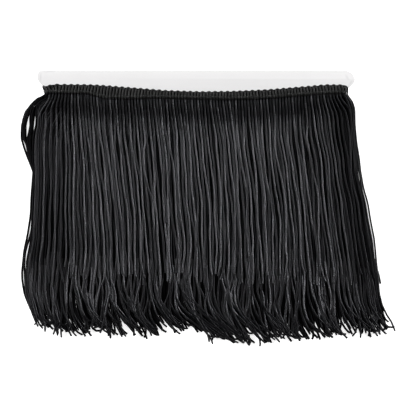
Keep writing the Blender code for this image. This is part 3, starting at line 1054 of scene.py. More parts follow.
@dataclass(frozen=True)
class YarnFinish:
    """Satin black knitted rayon yarn."""

    name: str
    deep: Colour
    lit: Colour
    roughness: float
    satin: float
    stitch: float = 1.5
    wales: float = 4.0
    bump: float = 0.35
    tint: Colour = (0.93, 0.93, 1.0)
    fine: float = 900.0
    broad: float = 45.0
    mottle: tuple[float, float] = (-0.3, 0.9)
    lift: float = 0.2
    fibre_shade: tuple[float, float] = (0.75, 1.25)
    rough_spread: float = 0.08
    depth: float = 0.0003

    def material(self, effects: Effects) -> bpy.types.Material:
        """Build the material of the yarn.

        Args:
            effects: The shared node groups.

        Returns:
            The yarn's material.
        """
        made, write, shader = new_material(self.name)
        uv = write.node("ShaderNodeUVMap", uv_map="Cord")
        knit = write.place(effects.knit, Cord=uv.outputs[0], Stitch=self.stitch, Wales=self.wales)
        place = write.node("ShaderNodeTexCoord")
        grain = write.place(effects.grain, Place=place.outputs["Object"], Fine=self.fine, Broad=self.broad)
        tone = write.node("ShaderNodeAttribute", attribute_name="tone")
        share = write.math("ADD", write.spread(grain.outputs["Broad"], *self.mottle), tone.outputs["Fac"])
        yarn = write.blend(write.math("ADD", share, self.lift), (*self.deep, 1.0), (*self.lit, 1.0))
        fibre = write.spread(grain.outputs["Fine"], *self.fibre_shade)
        worked = write.node("ShaderNodeVectorMath", operation="SCALE")
        write.feed(worked.inputs[0], yarn)
        write.feed(worked.inputs["Scale"], write.math("MULTIPLY", knit.outputs["Shade"], fibre))
        write.feed(shader.inputs["Base Color"], worked.outputs[0])
        low, high = self.roughness - self.rough_spread, self.roughness + self.rough_spread
        write.feed(shader.inputs["Roughness"], write.spread(grain.outputs["Fine"], low, high))
        shader.inputs["Specular IOR Level"].default_value = self.satin
        shader.inputs["Specular Tint"].default_value = (*self.tint, 1.0)
        write.feed(shader.inputs["Normal"], write.bump(knit.outputs["Height"], self.bump, self.depth))
        return made


@dataclass(frozen=True)
class Crease:
    """A faint painted shade where the card is creased: its centre, its direction and the half of its length and
    width.
    """

    centre: Point
    degrees: float
    length: float
    width: float
    depth: float = 20.0


@dataclass(frozen=True)
class CardFinish:
    """Matt off-white card with a faint fibre grain."""

    name: str
    clean: Colour
    worn: Colour
    roughness: float
    crease_shade: Colour = (0.0, 0.0, 0.0)
    creases: tuple[Crease, ...] = ()
    fine: float = 1400.0
    broad: float = 28.0
    broad_mottle: tuple[float, float] = (-0.6, 1.0)
    fine_mottle: tuple[float, float] = (-0.2, 0.3)
    rough_spread: float = 0.1
    bump: float = 0.25
    depth: float = 0.0004
    broad_bump: float = 3.0

    def material(self, effects: Effects, shift: Vector) -> bpy.types.Material:
        """Build the material of the card.

        Args:
            effects: The shared node groups.
            shift: Move from the design frame to the row frame, in metres.

        Returns:
            The card's material.
        """
        made, write, shader = new_material(self.name)
        place = write.node("ShaderNodeTexCoord")
        grain = write.place(effects.grain, Place=place.outputs["Object"], Fine=self.fine, Broad=self.broad)
        broad = write.spread(grain.outputs["Broad"], *self.broad_mottle)
        mottle = write.math("ADD", broad, write.spread(grain.outputs["Fine"], *self.fine_mottle))
        card = write.blend(mottle, (*self.clean, 1.0), (*self.worn, 1.0))
        # Painted shade along each crease: the darker colour is blended in over a soft spot.
        for crease in self.creases:
            local = write.node("ShaderNodeMapping", vector_type="TEXTURE")
            write.feed(local.inputs["Vector"], place.outputs["Object"])
            local.inputs["Location"].default_value = Vector(crease.centre) * MM + shift
            local.inputs["Rotation"].default_value = (0.0, 0.0, math.radians(crease.degrees))
            local.inputs["Scale"].default_value = (crease.length * MM, crease.width * MM, crease.depth * MM)
            crease_shade_mask = write.node("ShaderNodeTexGradient", gradient_type="SPHERICAL")
            write.feed(crease_shade_mask.inputs[0], local.outputs[0])
            card = write.blend(crease_shade_mask.outputs["Fac"], card, (*self.crease_shade, 1.0))
        write.feed(shader.inputs["Base Color"], card)
        low, high = self.roughness - self.rough_spread, self.roughness + self.rough_spread
        write.feed(shader.inputs["Roughness"], write.spread(grain.outputs["Fine"], low, high))
        raised = write.math("MULTIPLY", grain.outputs["Broad"], self.broad_bump)
        height = write.math("ADD", grain.outputs["Fine"], raised)
        write.feed(shader.inputs["Normal"], write.bump(height, self.bump, self.depth))
        return made


@dataclass
class Heading:
    """The ribbed heading: its stitched ground and the binding threads along its lower edge."""

    belt: HeadingBelt
    ground_inner: float = -0.85
    ground_thick: float = 0.6
    ground_low: float = 0.4
    ground_high: float = 0.8
    step: float = 3.0
    thread_half: float = 0.48
    thread_rise: float = 0.62
    thread_swing: float = 0.42
    thread_short: float = 7.6
    thread_rows: tuple[tuple[float, float], ...] = ((1.0, 0.0), (2.0, 0.5))
    thread_wave: float = 0.25
    thread_flat: float = 0.7
    thread_tone: float = 0.3
    thread_steps: int = 4

    def build_ground(self, shift: Vector, material: bpy.types.Material) -> bpy.types.Object:
        """Build the thin ground that the cords are bound to.

        Args:
            shift: Move from the design frame to the row frame, in metres.
            material: Finish of the ground.

        Returns:
            The ground as a closed strip.
        """
        count = int(self.belt.length / self.step)
        verts = []
        uvs = []
        for number in range(count + 1):
            t = self.belt.length * number / count
            spot = self.belt.spot(t)
            for y in (spot.bottom + self.ground_low, 0.5 * (spot.bottom + spot.top), spot.top - self.ground_high):
                point = Vector(self.belt.point(t, y, self.ground_inner)) * MM + shift
                verts.append(point)
                uvs.append((y - spot.bottom, t))
        faces = []
        for number in range(count):
            for row in range(2):
                a = 3 * number + row
                faces.append((a, a + 3, a + 4, a + 1))
        data = bpy.data.meshes.new("heading_ground")
        data.from_pydata(verts, [], faces)
        layer = data.uv_layers.new(name="Cord")
        for loop in data.loops:
            layer.data[loop.index].uv = uvs[loop.vertex_index]
        data.materials.append(material)
        data.polygons.foreach_set("use_smooth", np.ones(len(faces), dtype=bool))
        made = bpy.data.objects.new("heading_ground", data)
        bpy.context.scene.collection.objects.link(made)
        bpy.ops.object.select_all(action="DESELECT")
        bpy.context.view_layer.objects.active = made
        made.select_set(True)
        wall = made.modifiers.new("thickness", "SOLIDIFY")
        wall.thickness = self.ground_thick * MM
        wall.offset = 1.0
        bpy.ops.object.modifier_apply(modifier=wall.name)
        return made

    def build_threads(self, pitch: float, shift: Vector, material: bpy.types.Material) -> bpy.types.Object:
        """Build the chain of binding thread that runs over each rib at the lower edge.

        Args:
            pitch: Distance between two ribs.
            shift: Move from the design frame to the row frame, in metres.
            material: Finish of the thread.

        Returns:
            The two threads as one piece.
        """
        skin = CordSkin("binding_threads", sides=5)
        reach = self.belt.length - self.thread_short
        count = int(reach / pitch * self.thread_steps)
        for lift, start in self.thread_rows:
            centres = []
            normals = []
            for number in range(count + 1):
                t = reach * number / count
                spot = self.belt.spot(t)
                swing = math.cos(math.tau * (t / pitch + 0.5 + start))
                out = self.thread_rise + self.thread_swing * swing
                y = spot.bottom + lift + self.thread_wave * math.sin(math.tau * t / pitch)
                centres.append(self.belt.point(t, y, out))
                normals.append((math.sin(spot.facing), 0.0, math.cos(spot.facing)))
            size = np.full(len(centres), self.thread_half)
            looks = np.zeros(len(centres))
            skin.add(np.array(centres), np.array(normals), size, self.thread_flat * size, looks, self.thread_tone)
        return skin.build(shift, (material,))


@dataclass(frozen=True)
class Ends:
    """How the loose ends of a tier curl: the tail's shortest and longest, the turn's mean and spread."""

    shortest: float
    longest: float
    mean: float
    spread: float


@dataclass(frozen=True)
class Tier:
    """How the strands of one turn lie: drop below the heading, pile's cap, wander, width and noise level."""

    drop: float
    cap: float
    loose: float
    own: float
    width: float
    layer: float


@dataclass(frozen=True)
class RimLane:
    """The lane of a loose strand at a rim: a column of a table, and the height of its cut end."""

    table: Sequence[Any]
    name: str
    end: float


@dataclass
class StrandRun:
    """All the cords: each goes up from a strand, round a scallop of the heading and down again."""

    belt: HeadingBelt
    flow: StrandFlow
    cords: int = 145
    strand_half: float = 1.2
    strand_thick: float = 0.9
    width_scatter: tuple[float, float] = (0.92, 1.06)
    thick_scatter: tuple[float, float] = (0.92, 1.05)
    rib_half: float = 1.32
    rib_thick: float = 0.78
    rib_offset: float = 0.1
    under_offset: float = -0.6
    root_offset: float = -0.5
    crest: float = 0.3
    turn_height: float = 1.25
    lean: float = 3.2
    tip_reach: float = 16.0
    root_gap: float = 0.4
    path_step: float = 2.0
    left_rim_end: float = -128.0
    left_rim_scatter: float = 8.0
    right_rim_ends: tuple[float, ...] = (-91.0, -127.0, -147.6)
    rim_ease: float = 7.0
    seed_start: float = 10.0
    seed_spread: float = 31.7
    # Lit and painted-shade levels that the hidden strands draw from.
    shade_levels: tuple[Look, ...] = (Look.LIT_SATIN, Look.LIT_SATIN, Look.HALF_SHADE, Look.SHADED, Look.SHADED)
    front_tip: float = -84.5
    front_scatter: float = 8.0
    hem_scatter: float = 17.0
    hem_drop: float = 1.0
    upright_curl: float = 0.45
    tiers: dict[Turn, Tier] = field(default_factory=lambda: {
        Turn.OUTER: Tier(58.0, 8.5, 1.0, 1.2, 1.0, 0.0),
        Turn.INNER: Tier(45.0, 6.0, 1.2, 1.3, 1.0, 1.7),
        Turn.BACK: Tier(12.0, 3.6, 0.2, 0.02, 1.14, 3.1)})
    front_ends: Ends = Ends(7.0, 14.0, 0.0, 0.22)
    hem_ends: Ends = Ends(8.0, 20.0, 0.05, 0.52)
    wild_share: float = 0.23
    wild_turn: tuple[float, float] = (0.9, 2.0)
    wild_ways: tuple[float, ...] = (-1.0, 1.0, 1.0)
    wander_share: float = 0.07
    wander_own: float = 2.6
    shade_spread: float = 14.0
    # Lane roots past which strands are painted in half shade, and past the last in full shade.
    shaded_sides: tuple[float, float, float] = (-168.0, 128.0, 144.0)
    hem_probe: float = -138.0
    hem_lead: float = 8.0
    hem_power: float = 1.4
    short_reach: float = 2.6
    stray_reach: float = 1.6
    tail_share: float = 0.76
    tail_step: float = 1.6
    tail_power: float = 1.4
    edge_xs: tuple[float, float] = (-192.0, 161.0)
    edge_ease: tuple[float, float, float] = (6.5, 1.7, 60.0)
    front_ease: tuple[float, ...] = (12.0, 22.0, 70.0, 0.85)
    bar_block: tuple[float, ...] = (-200.0, 170.0, 139.0, 165.0, 6.9)
    rib_rises: tuple[float, ...] = (-0.06, 0.12, 0.4, 0.72)
    rib_reach: float = 190.0
    turn_steps: int = 6
    turn_dip: float = 0.35
    bend_facing: float = 0.6
    rib_tone: float = 0.45
    # Heights of painted shade: on the front strands above the first in full and above the second in half; on the
    # inner strands above the first and below the second.
    front_shades: tuple[float, float] = (127.0, 101.0)
    lower_shades: tuple[float, float] = (-66.0, -126.0)
    facing_fall: float = 12.0
    blunt_tip: float = 0.93
    short_ends: tuple[HemRow, ...] = table_of(
        HemRow, (-85.0, -6.0), (-64.0, -20.0), (-47.0, -17.0), (-43.0, 13.0), (-171.0, -68.0))
    strays: tuple[StrayEnd, ...] = STRAYS
    plan: RingPlan = RingPlan()
    legs: list[Leg] = field(default_factory=list)

    @property
    def pitch(self) -> float:
        """Distance between two ribs of the heading."""
        return self.belt.length / (2 * self.cords)

    def add_legs(self, rng: random.Random) -> None:
        """Give every cord its two legs; the hidden turns hold a second cord under each rib.

        Args:
            rng: Source of the widths and thicknesses.
        """
        for number in range(2 * self.cords):
            for under in (False, True):
                cord = number // 2
                t = (number + (1.0 if under else 0.5)) * self.pitch
                first = (2 * cord + (1.0 if under else 0.5)) * self.pitch
                spot = self.belt.spot(t)
                if under and Turn.OUTER in (self.belt.spot(first).turn, self.belt.spot(first + self.pitch).turn):
                    continue
                offset = self.root_offset + (self.under_offset if under else 0.0)
                root = self.belt.point(t, spot.bottom - self.root_gap, offset)
                half = self.strand_half * self.tiers[spot.turn].width * rng.uniform(*self.width_scatter)
                thick = self.strand_thick * rng.uniform(*self.thick_scatter)
                self.legs.append(Leg(t, spot.turn, under, root, half, thick))

    def rim_lanes(self) -> dict[int, RimLane]:
        """Give the loose strands at the two rims their measured lanes.

        Returns:
            Each loose strand's lane, by the leg's identity.
        """
        fold = [leg for leg in self.legs if self.belt.starts[3] <= leg.t < self.belt.starts[4]]
        bend = [leg for leg in self.legs if leg.t >= self.belt.starts[5] - 0.5 * self.pitch]
        fold.sort(key=lambda leg: leg.root[0])
        bend.sort(key=lambda leg: leg.t)
        lanes = {}
        for leg, name in zip(fold, ("rim", "second", "third", "fourth", "fifth", "sixth")):
            lanes[id(leg)] = RimLane(LEFT_RIM, name, self.left_rim_end)
        for leg, name, end in zip(bend, ("third", "second", "rim"), self.right_rim_ends):
            lanes[id(leg)] = RimLane(RIGHT_RIM, name, end)
        return lanes

    def lay_out(self, rng: random.Random) -> None:
        """Give every strand its lane over the table and its cut end.

        Args:
            rng: Source of the scatter.
        """
        self.add_legs(rng)
        rims = self.rim_lanes()
        shorts = list(self.short_ends)
        strays = list(self.strays)
        for turn in Turn:
            level = [leg for leg in self.legs if leg.turn is turn and id(leg) not in rims]
            level.sort(key=lambda leg: leg.root[0])
            roots = [leg.root[0] for leg in level] if turn is Turn.OUTER else self.flow.even_roots(len(level))
            for leg, lane_root in zip(level, roots):
                self.lay_strand(leg, float(lane_root), rng, shorts, strays)
        for leg in self.legs:
            if id(leg) in rims:
                self.lay_rim(leg, rims[id(leg)], rng)

    def lay_rim(self, leg: Leg, lane: RimLane, rng: random.Random) -> None:
        """Lay a loose strand along its measured lane at one of the rims.

        Args:
            leg: The strand.
            lane: Its lane.
            rng: Source of the scatter of the left ends.
        """
        # The loose rim strands are painted in shade.
        leg.shade_level = Look.SHADED
        end = lane.end - (rng.uniform(0.0, self.left_rim_scatter) if lane.table is LEFT_RIM else 0.0)
        points = []
        y = leg.root[1]
        while True:
            settled = smooth((leg.root[1] - y) / self.rim_ease)
            x = column(lane.table, "y", lane.name, y)
            points.append((leg.root[0] * (1.0 - settled) + x * settled, y))
            if y <= end:
                break
            y = max(end, y - self.path_step)
        leg.path = np.array(points)

    def lay_strand(
        self, leg: Leg, lane_root: float, rng: random.Random, shorts: list[HemRow], strays: list[StrayEnd]
    ) -> None:
        """Lay one strand and turn its loose end.

        Args:
            leg: The strand.
            lane_root: The root that its lane is worked out from.
            rng: Source of the scatter.
            shorts: Short ends that are still to be given out.
            strays: Stray ends that are still to be given out.
        """
        seed = self.seed_start + self.seed_spread * rng.random() * len(self.legs)
        tier = self.tiers[leg.turn]
        layer, loose = tier.layer, tier.loose
        front = leg.turn is Turn.OUTER
        leg.wanders = front and rng.random() < self.wander_share
        own = self.wander_own if leg.wanders else tier.own
        leg.shade_shift = rng.uniform(-self.shade_spread, self.shade_spread)
        # Painted light per strand: front strands lit, hidden ones lit or in painted shade at random, strands near the
        # sides in painted shade.
        leg.shade_level = Look.LIT_SATIN if front else rng.choice(self.shade_levels)
        left_side, right_side, right_rim = self.shaded_sides
        if lane_root < left_side or lane_root > right_side:
            leg.shade_level = max(leg.shade_level, Look.HALF_SHADE if lane_root < right_rim else Look.SHADED)
        scatter = rng.random()
        ends = self.front_ends if front else self.hem_ends
        tail = rng.uniform(ends.shortest, ends.longest)
        turn = rng.gauss(ends.mean, ends.spread)
        if not front and rng.random() < self.wild_share:
            turn = rng.choice(self.wild_ways) * rng.uniform(*self.wild_turn)
        if front:
            end = self.front_tip + self.front_scatter * (2.0 * scatter - 1.0)
            for short in shorts:
                if abs(self.flow.lane(lane_root, short.y, layer, seed, loose, own) - short.x) < self.short_reach:
                    end = short.y
                    shorts.remove(short)
                    break
        else:
            across = self.flow.lane(lane_root, self.hem_probe, layer, seed, loose, own) + self.hem_lead
            end = column(HEM, "x", "y", across) - self.hem_drop + self.hem_scatter * scatter ** self.hem_power
            for stray in strays:
                if leg.turn is Turn.INNER and abs(across - stray.x) < self.stray_reach:
                    end, tail, turn = stray.y, stray.tail, stray.turn
                    strays.remove(stray)
                    break
            turn += self.upright_curl * self.flow.upright(lane_root)
        edge_room = max(0.0, min(leg.root[0] - self.edge_xs[0], self.edge_xs[1] - leg.root[0]))
        bow, _, fan = self.flow.shares(lane_root)
        least, growth, most = self.edge_ease
        ease = min(most, least + growth * edge_room)
        if front:
            least, bowed, fanned, dip = self.front_ease
            ease = least + bowed * bow + fanned * fan * (1.0 - dip * fan)
        points = []
        y = leg.root[1]
        bend_y = end + self.tail_share * tail
        while y > bend_y:
            settled = smooth((leg.root[1] - y) / ease)
            x = self.flow.lane(lane_root, y, layer, seed, loose, own)
            points.append((leg.root[0] * (1.0 - settled) + x * settled, y))
            y -= self.path_step
        x, y = points[-1]
        angle = math.atan2(x - points[-2][0], points[-2][1] - y)
        steps = max(3, round(tail / self.tail_step))
        for number in range(steps):
            way = angle + turn * ((number + 0.5) / steps) ** self.tail_power
            x += tail / steps * math.sin(way)
            y -= tail / steps * math.cos(way)
            points.append((x, y))
        leg.path = np.array(points)

    def settle(self, pile: Pile, rng: random.Random) -> None:
        """Lay the strands on the table from the lowest turn to the highest.

        Args:
            pile: The height map of the bare table.
            rng: Source of the order inside a turn.
        """
        order = {Turn.BACK: 0, Turn.INNER: 1, Turn.OUTER: 2}
        queue = sorted(self.legs, key=lambda leg: (order[leg.turn], leg.wanders, rng.random()))
        above = False
        for leg in queue:
            if leg.turn is not Turn.BACK and not above:
                pile.block(*self.bar_block)
                above = True
            leg.settle(pile, self.tiers[leg.turn].drop, self.tiers[leg.turn].cap)

    def rib(self, cord: int, under: bool) -> tuple[list[Point], list[Point]]:
        """Lead one cord up through the heading, round its scallop and down again.

        Args:
            cord: Which cord along the belt.
            under: Whether it is the second cord, under the ribs.

        Returns:
            The points of its middle line, and the way that each of them faces.
        """
        first = (2 * cord + (1.0 if under else 0.5)) * self.pitch
        second = first + self.pitch
        offset = self.under_offset if under else self.rib_offset
        low_offset = offset + self.root_offset
        centres = []
        facings = []

        def put(t: float, share: float, lift: float, out: float) -> None:
            """Add a point at a share of the rib's height.

            Args:
                t: Distance along the belt.
                share: Share of the rib's straight height.
                lift: Height above that.
                out: Distance outwards from the middle of the belt.
            """
            spot = self.belt.spot(t)
            room = spot.top - spot.bottom - self.rib_half + self.crest - self.turn_height
            height = share * room + lift
            lean = -self.lean * spot.x / self.rib_reach * smooth(height / (spot.top - spot.bottom))
            lean *= min(1.0, max(0.0, (spot.x - self.belt.left) / self.tip_reach))
            if spot.turn is Turn.BACK:
                lean = -lean
            centres.append(self.belt.point(t + lean, spot.bottom + height, out))
            facings.append((math.sin(spot.facing), 0.0, math.cos(spot.facing)))

        for share in self.rib_rises:
            put(first, share, 0.0, offset if share > 0.0 else low_offset)
        for step in range(self.turn_steps + 1):
            angle = math.pi * step / self.turn_steps
            middle = 0.5 * (first + second)
            lift = self.turn_height * math.sin(angle)
            put(middle - 0.5 * self.pitch * math.cos(angle), 1.0, lift, offset - self.turn_dip * math.sin(angle))
        for share in reversed(self.rib_rises):
            put(second, share, 0.0, offset if share > 0.0 else low_offset)
        return centres, facings

    def build(self, shift: Vector, looks: Sequence[bpy.types.Material], rng: random.Random) -> list[bpy.types.Object]:
        """Build one piece for each turn of the heading.

        Args:
            shift: Move from the design frame to the row frame, in metres.
            looks: Finishes of the strands, lit and in painted shade, and of the ribs.
            rng: Source of the tones.

        Returns:
            The pieces, from the inner turn to the outer one.
        """
        skins = {turn: CordSkin(f"{turn.value}_turn_cords") for turn in Turn}
        for under in (False, True):
            legs = [leg for leg in self.legs if leg.under is under]
            for first, second in zip(legs[0::2], legs[1::2]):
                cord = round(first.t / self.pitch - (1.0 if under else 0.5)) // 2
                ribs, facings = self.rib(cord, under)
                rows = self.strand_rows(first, facings[0])[::-1]
                # The step between each leg and its rib is painted in deep shade: a painted shadow under the heading's
                # lower edge.
                rows[-1] = (*rows[-1][:4], Look.DEEP_SHADE)
                for place, way in zip(ribs, facings):
                    # Ribs on the bend that face the right light take the shaded yarn instead of the rib yarn: painted
                    # shade.
                    at_bend = way[0] > self.bend_facing and first.turn is Turn.OUTER
                    rows.append((place, way, self.rib_half, self.rib_thick, Look.SHADED if at_bend else Look.RIB))
                # The same painted shadow on the second leg's step.
                rows[-1] = (*rows[-1][:4], Look.DEEP_SHADE)
                rows += self.strand_rows(second, facings[-1])
                parts = (np.array(part) for part in zip(*rows))
                skins[first.turn].add(*parts, rng.uniform(-self.rib_tone, self.rib_tone))
        return [skins[turn].build(shift, looks) for turn in Turn]

    def look(self, leg: Leg, y: float) -> Look:
        """Choose the finish of a strand at a height: shade is painted on the front strands just below the heading, on
        the back turn, on the inner strands under the front tier and at their cut ends.

        Args:
            leg: The strand.
            y: The height.

        Returns:
            The finish there.
        """
        y += leg.shade_shift
        if leg.turn is Turn.OUTER:
            shaded, half_shade = self.front_shades
            return max(leg.shade_level, Look.SHADED if y > shaded else Look.HALF_SHADE if y > half_shade else Look.LIT_SATIN)
        if leg.turn is Turn.BACK:
            return Look.DEEP_SHADE
        hidden, cut_end = self.lower_shades
        # Inner strands under the front tier are painted in shade, one step deeper where already shaded.
        if y > hidden:
            return Look.DEEP_SHADE if leg.shade_level is Look.SHADED else Look.SHADED
        return leg.shade_level if y > cut_end else Look.SHADED

    def strand_rows(self, leg: Leg, facing: Point) -> list[tuple[Point, Point, float, float, Look]]:
        """List the cross-sections of a strand from the heading down to its cut end.

        Args:
            leg: The strand.
            facing: The way that the heading faces at its root.

        Returns:
            For each cross-section its centre, the way of its thickness, its half width and thickness, and its finish.
        """
        sign = 1.0 if facing[2] >= -0.2 else -1.0
        rows = []
        kept = leg.rings(self.plan)
        for number in kept:
            x, y = leg.path[number]
            share = smooth((leg.root[1] - y) / self.facing_fall)
            normal = (facing[0] * (1.0 - share), 0.0, facing[2] * (1.0 - share) + sign * share)
            blunt = self.blunt_tip if number == kept[-1] else 1.0
            centre = (x, y, leg.base[number] + leg.thick)
            rows.append((centre, normal, leg.half * blunt, leg.thick * blunt, self.look(leg, y)))
        return rows


@dataclass
class CardBar:
    """The white card bar that the fringe is wound on."""

    left: float = -204.8
    right: float = 176.6
    low: float = 134.6
    high: float = 165.0
    bottom: float = 2.2
    top: float = 6.8
    edge: float = 0.8
    edge_steps: int = 3
    corner: float = 2.6
    corner_steps: int = 4
    smooth_angle: float = 40.0
    face_tilt: float = 0.99
    upright_tilt: float = 0.9
    cuts: tuple[tuple[float, float, float, float], ...] = (
        (-204.8, 154.0, -200.0, 147.6),
        (-200.4, 148.0, -186.0, 134.6),
        (173.6, 147.6, 176.6, 152.5),
        (153.0, 134.6, 173.4, 147.2),
        (-204.8, 160.6, -202.4, 165.0),
        (167.2, 165.0, 173.6, 161.6),
        (172.4, 162.9, 176.6, 156.0),
    )

    def build(self, shift: Vector, face: bpy.types.Material, rim: bpy.types.Material) -> bpy.types.Object:
        """Build the bar from a block: cut its corners, round them and soften all its edges.

        Args:
            shift: Move from the design frame to the row frame, in metres.
            face: Finish of the card's two faces.
            rim: Finish of its edges, a darker copy of the card that paints shade on them.

        Returns:
            The finished bar.
        """
        bpy.ops.object.select_all(action="DESELECT")
        centre = Vector((self.left + self.right, self.low + self.high, self.bottom + self.top)) * 0.5
        size = Vector((self.right - self.left, self.high - self.low, self.top - self.bottom))
        bpy.ops.mesh.primitive_cube_add(size=1.0, location=centre * MM + shift)
        made = bpy.context.object
        made.name = "card_bar"
        made.data.name = "card_bar"
        made.scale = size * MM
        bpy.ops.object.transform_apply(location=True, rotation=True, scale=True)
        bpy.ops.object.mode_set(mode="EDIT")
        for first_x, first_y, last_x, last_y in self.cuts:
            start = Vector((first_x, first_y, 0.0))
            along = Vector((last_x, last_y, 0.0)) - start
            normal = Vector((along.y, -along.x, 0.0)).normalized()
            if normal.dot(centre - start) > 0.0:
                normal.negate()
            bpy.ops.mesh.select_all(action="SELECT")
            bpy.ops.mesh.bisect(plane_co=start * MM + shift, plane_no=normal, use_fill=True, clear_outer=True)
        self.select_edges(made, True)
        bpy.ops.mesh.bevel(
            offset=self.corner * MM, segments=self.corner_steps, affect="EDGES", clamp_overlap=True)
        self.select_edges(made, False)
        bpy.ops.mesh.bevel(
            offset=self.edge * MM, segments=self.edge_steps, affect="EDGES", clamp_overlap=True)
        bpy.ops.mesh.select_all(action="SELECT")
        bpy.ops.mesh.normals_make_consistent(inside=False)
        bpy.ops.object.mode_set(mode="OBJECT")
        bpy.ops.object.shade_smooth_by_angle(angle=math.radians(self.smooth_angle))
        made.data.materials.append(face)
        made.data.materials.append(rim)
        # The rounded edges take the darker copy of the card: painted shade.
        for polygon in made.data.polygons:
            polygon.material_index = 0 if abs(polygon.normal.z) > self.face_tilt else 1
        return made

    def select_edges(self, made: bpy.types.Object, upright: bool) -> None:
        """Select the upright edges of the bar, or the edges round its two faces.

        Args:
            made: The bar, in edit mode.
            upright: Whether the upright edges are wanted.
        """
        bpy.ops.mesh.select_all(action="DESELECT")
        bpy.ops.mesh.select_mode(type="EDGE")
        shape = bmesh.from_edit_mesh(made.data)
        for edge in shape.edges:
            run = edge.verts[1].co - edge.verts[0].co
            is_upright = abs(run.z) > self.upright_tilt * run.length
            flat_faces = [face for face in edge.link_faces if abs(face.normal.z) > self.upright_tilt]
            edge.select_set(is_upright if upright else len(flat_faces) == 1 and not is_upright)
        bmesh.update_edit_mesh(made.data)


@dataclass(frozen=True)
class Softbox:
    """A round area light: its name, place, size across in metres and power in watts."""

    name: str
    place: Point
    size: float
    power: float


@dataclass
class Studio:
    """The pale table, the soft light and the camera over the object."""

    aim_z: float = 6.0
    frame_width: float = 499.2
    lens: float = 150.0
    sensor: float = 36.0
    far_limit: float = 20.0
    table_half: float = 3.0
    table_drop: float = 0.0002
    table_white: float = 0.95
    table_soft: float = 0.985
    table_glow: float = 0.85
    table_rough: float = 0.9
    sky_glow: float = 0.01
    lights: tuple[Softbox, ...] = table_of(
        Softbox,
        ("overhead_softbox", (0.0, 0.6, 3.2), 1.2, 6.0),
        ("side_light_left", (-3.9, 1.25, 2.1), 1.3, 212.0),
        ("side_light_right", (3.9, 1.25, 2.1), 1.3, 212.0))

    def build(self, shift: Vector, effects: Effects) -> None:
        """Build the table, the lights and the camera.

        Args:
            shift: Move from the design frame to the row frame, in metres.
            effects: The shared node groups.
        """
        bpy.ops.object.select_all(action="DESELECT")
        bpy.ops.mesh.primitive_plane_add(size=2.0 * self.table_half, location=(0.0, 0.0, -self.table_drop))
        table = bpy.context.object
        table.name = "table"
        made, write, shader = new_material("pale_table")
        place = write.node("ShaderNodeTexCoord")
        grain = write.place(effects.grain, Place=place.outputs["Object"], Fine=300.0, Broad=4.0)
        white = (*[self.table_white] * 3, 1.0)
        soft = (*[self.table_white * self.table_soft] * 3, 1.0)
        write.feed(shader.inputs["Base Color"], write.blend(grain.outputs["Fine"], white, soft))
        shader.inputs["Roughness"].default_value = self.table_rough
        shader.inputs["Specular IOR Level"].default_value = 0.0
        shader.inputs["Emission Color"].default_value = (1.0, 1.0, 1.0, 1.0)
        shader.inputs["Emission Strength"].default_value = self.table_glow
        table.data.materials.append(made)
        for light in self.lights:
            self.light(light)
        world = bpy.data.worlds.new("studio")
        bpy.context.scene.world = world
        world.use_nodes = True
        sky = world.node_tree.nodes["Background"]
        sky.inputs["Color"].default_value = (1.0, 1.0, 1.0, 1.0)
        sky.inputs["Strength"].default_value = self.sky_glow
        distance = self.frame_width * self.lens / self.sensor
        bpy.ops.object.camera_add(location=(shift.x, shift.y, (distance + self.aim_z) * MM), rotation=(0.0, 0.0, 0.0))
        camera = bpy.context.object
        camera.name = "camera"
        camera.data.lens = self.lens
        camera.data.sensor_width = self.sensor
        camera.data.clip_end = self.far_limit
        bpy.context.scene.camera = camera
        bpy.context.scene.view_settings.view_transform = "Standard"

    def light(self, box: Softbox) -> None:
        """Add one soft area light that faces the object.

        Args:
            box: The light.
        """
        bpy.ops.object.light_add(type="AREA", location=box.place)
        made = bpy.context.object
        made.name = box.name
        made.data.shape = "DISK"
        made.data.size = box.size
        made.data.energy = box.power
        made.visible_camera = False
        made.rotation_euler = (-Vector(box.place)).to_track_quat("-Z", "Y").to_euler()


def report(made: bpy.types.Object) -> None:
    """Log the size of a finished piece."""
    data = made.data
    LOG.info("%s: %d points, %d faces", made.name, len(data.vertices), len(data.polygons))


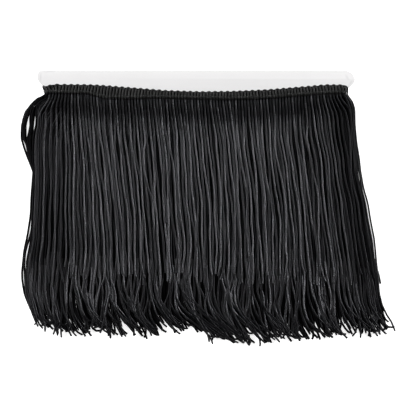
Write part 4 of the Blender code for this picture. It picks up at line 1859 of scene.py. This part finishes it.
def main() -> None:
    """Build the dressed fringe and its studio."""
    logging.basicConfig(level=logging.INFO, format="%(name)s: %(message)s")
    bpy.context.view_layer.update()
    rng = random.Random(SEED)
    bar = CardBar()
    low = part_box("bar")[0]
    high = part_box("bar")[1]
    shift = Vector((low[0] - bar.left * MM, high[1] - bar.high * MM, 0.0))
    effects = Effects.build()
    # One yarn in four copies that differ only in roughness and specular: fully lit, then half, full and deep painted
    # shade for strands below the heading, hidden strands and the sides.
    strand = (0.002, 0.002, 0.0024), (0.005, 0.005, 0.0057)
    satin = YarnFinish("lit_satin_yarn", *strand, roughness=0.30, satin=0.68)
    half_shade = YarnFinish("half_shaded_yarn", *strand, roughness=0.34, satin=0.44)
    shaded = YarnFinish("shaded_yarn", *strand, roughness=0.38, satin=0.2)
    hidden = YarnFinish("deep_shaded_yarn", *strand, roughness=0.45, satin=0.04)
    neutral = (1.0, 0.995, 0.995)
    cord = (0.004, 0.004, 0.0039), (0.009, 0.009, 0.0088)
    rib = YarnFinish("rib_yarn", *cord, roughness=0.36, satin=0.315, stitch=1.4, wales=5.0, bump=0.4, tint=neutral)
    thread = (0.006, 0.006, 0.0059), (0.014, 0.014, 0.0137)
    binding = YarnFinish(
        "binding_thread", *thread, roughness=0.33, satin=0.66, stitch=0.9, wales=3.0, bump=0.3, tint=neutral)
    tape = (0.002, 0.002, 0.002), (0.004, 0.004, 0.004)
    ground = YarnFinish(
        "ground_yarn", *tape, roughness=0.6, satin=0.05, stitch=1.2, wales=1.0, bump=0.4, tint=neutral)
    # Where shade is painted along the card's creases.
    creases = table_of(
        Crease,
        ((167.0, 156.5, 6.8), -60.0, 5.5, 2.1),
        ((171.0, 150.0, 6.8), 58.0, 4.8, 1.9),
        ((-200.7, 156.2, 6.8), 88.0, 8.0, 1.5),
        ((-189.0, 164.0, 6.8), 4.0, 9.0, 1.5))
    card = CardFinish(
        "white_card", clean=(0.86, 0.853, 0.855), worn=(0.83, 0.823, 0.825), roughness=0.7,
        crease_shade=(0.75, 0.743, 0.748), creases=creases)
    # A darker copy of the card for its edges: painted shade on the rounded rim.
    card_rim_shade = CardFinish("card_rim_shade", clean=(0.8, 0.793, 0.797), worn=(0.76, 0.753, 0.757), roughness=0.8)

    belt = HeadingBelt()
    run = StrandRun(belt, StrandFlow())
    run.lay_out(rng)
    run.settle(Pile(), rng)
    LOG.info("%d strands settled", len(run.legs))
    looks = [finish.material(effects) for finish in (satin, half_shade, shaded, hidden, rib)]
    cords = run.build(shift, looks, rng)
    for piece in cords:
        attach(piece, "root")
        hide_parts("fringe")
        report(piece)

    heading = Heading(belt)
    ground_strip = heading.build_ground(shift, ground.material(effects))
    threads = heading.build_threads(run.pitch, shift, binding.material(effects))
    for piece in (ground_strip, threads):
        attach(piece, "root")
        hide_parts("fringe")
        report(piece)
    round(belt.length * MM, 3)

    card_bar = bar.build(shift, card.material(effects, shift), card_rim_shade.material(effects, shift))
    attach(card_bar, "root")
    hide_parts("bar")
    report(card_bar)

    Studio().build(shift, effects)


if __name__ == "__main__":
    main()
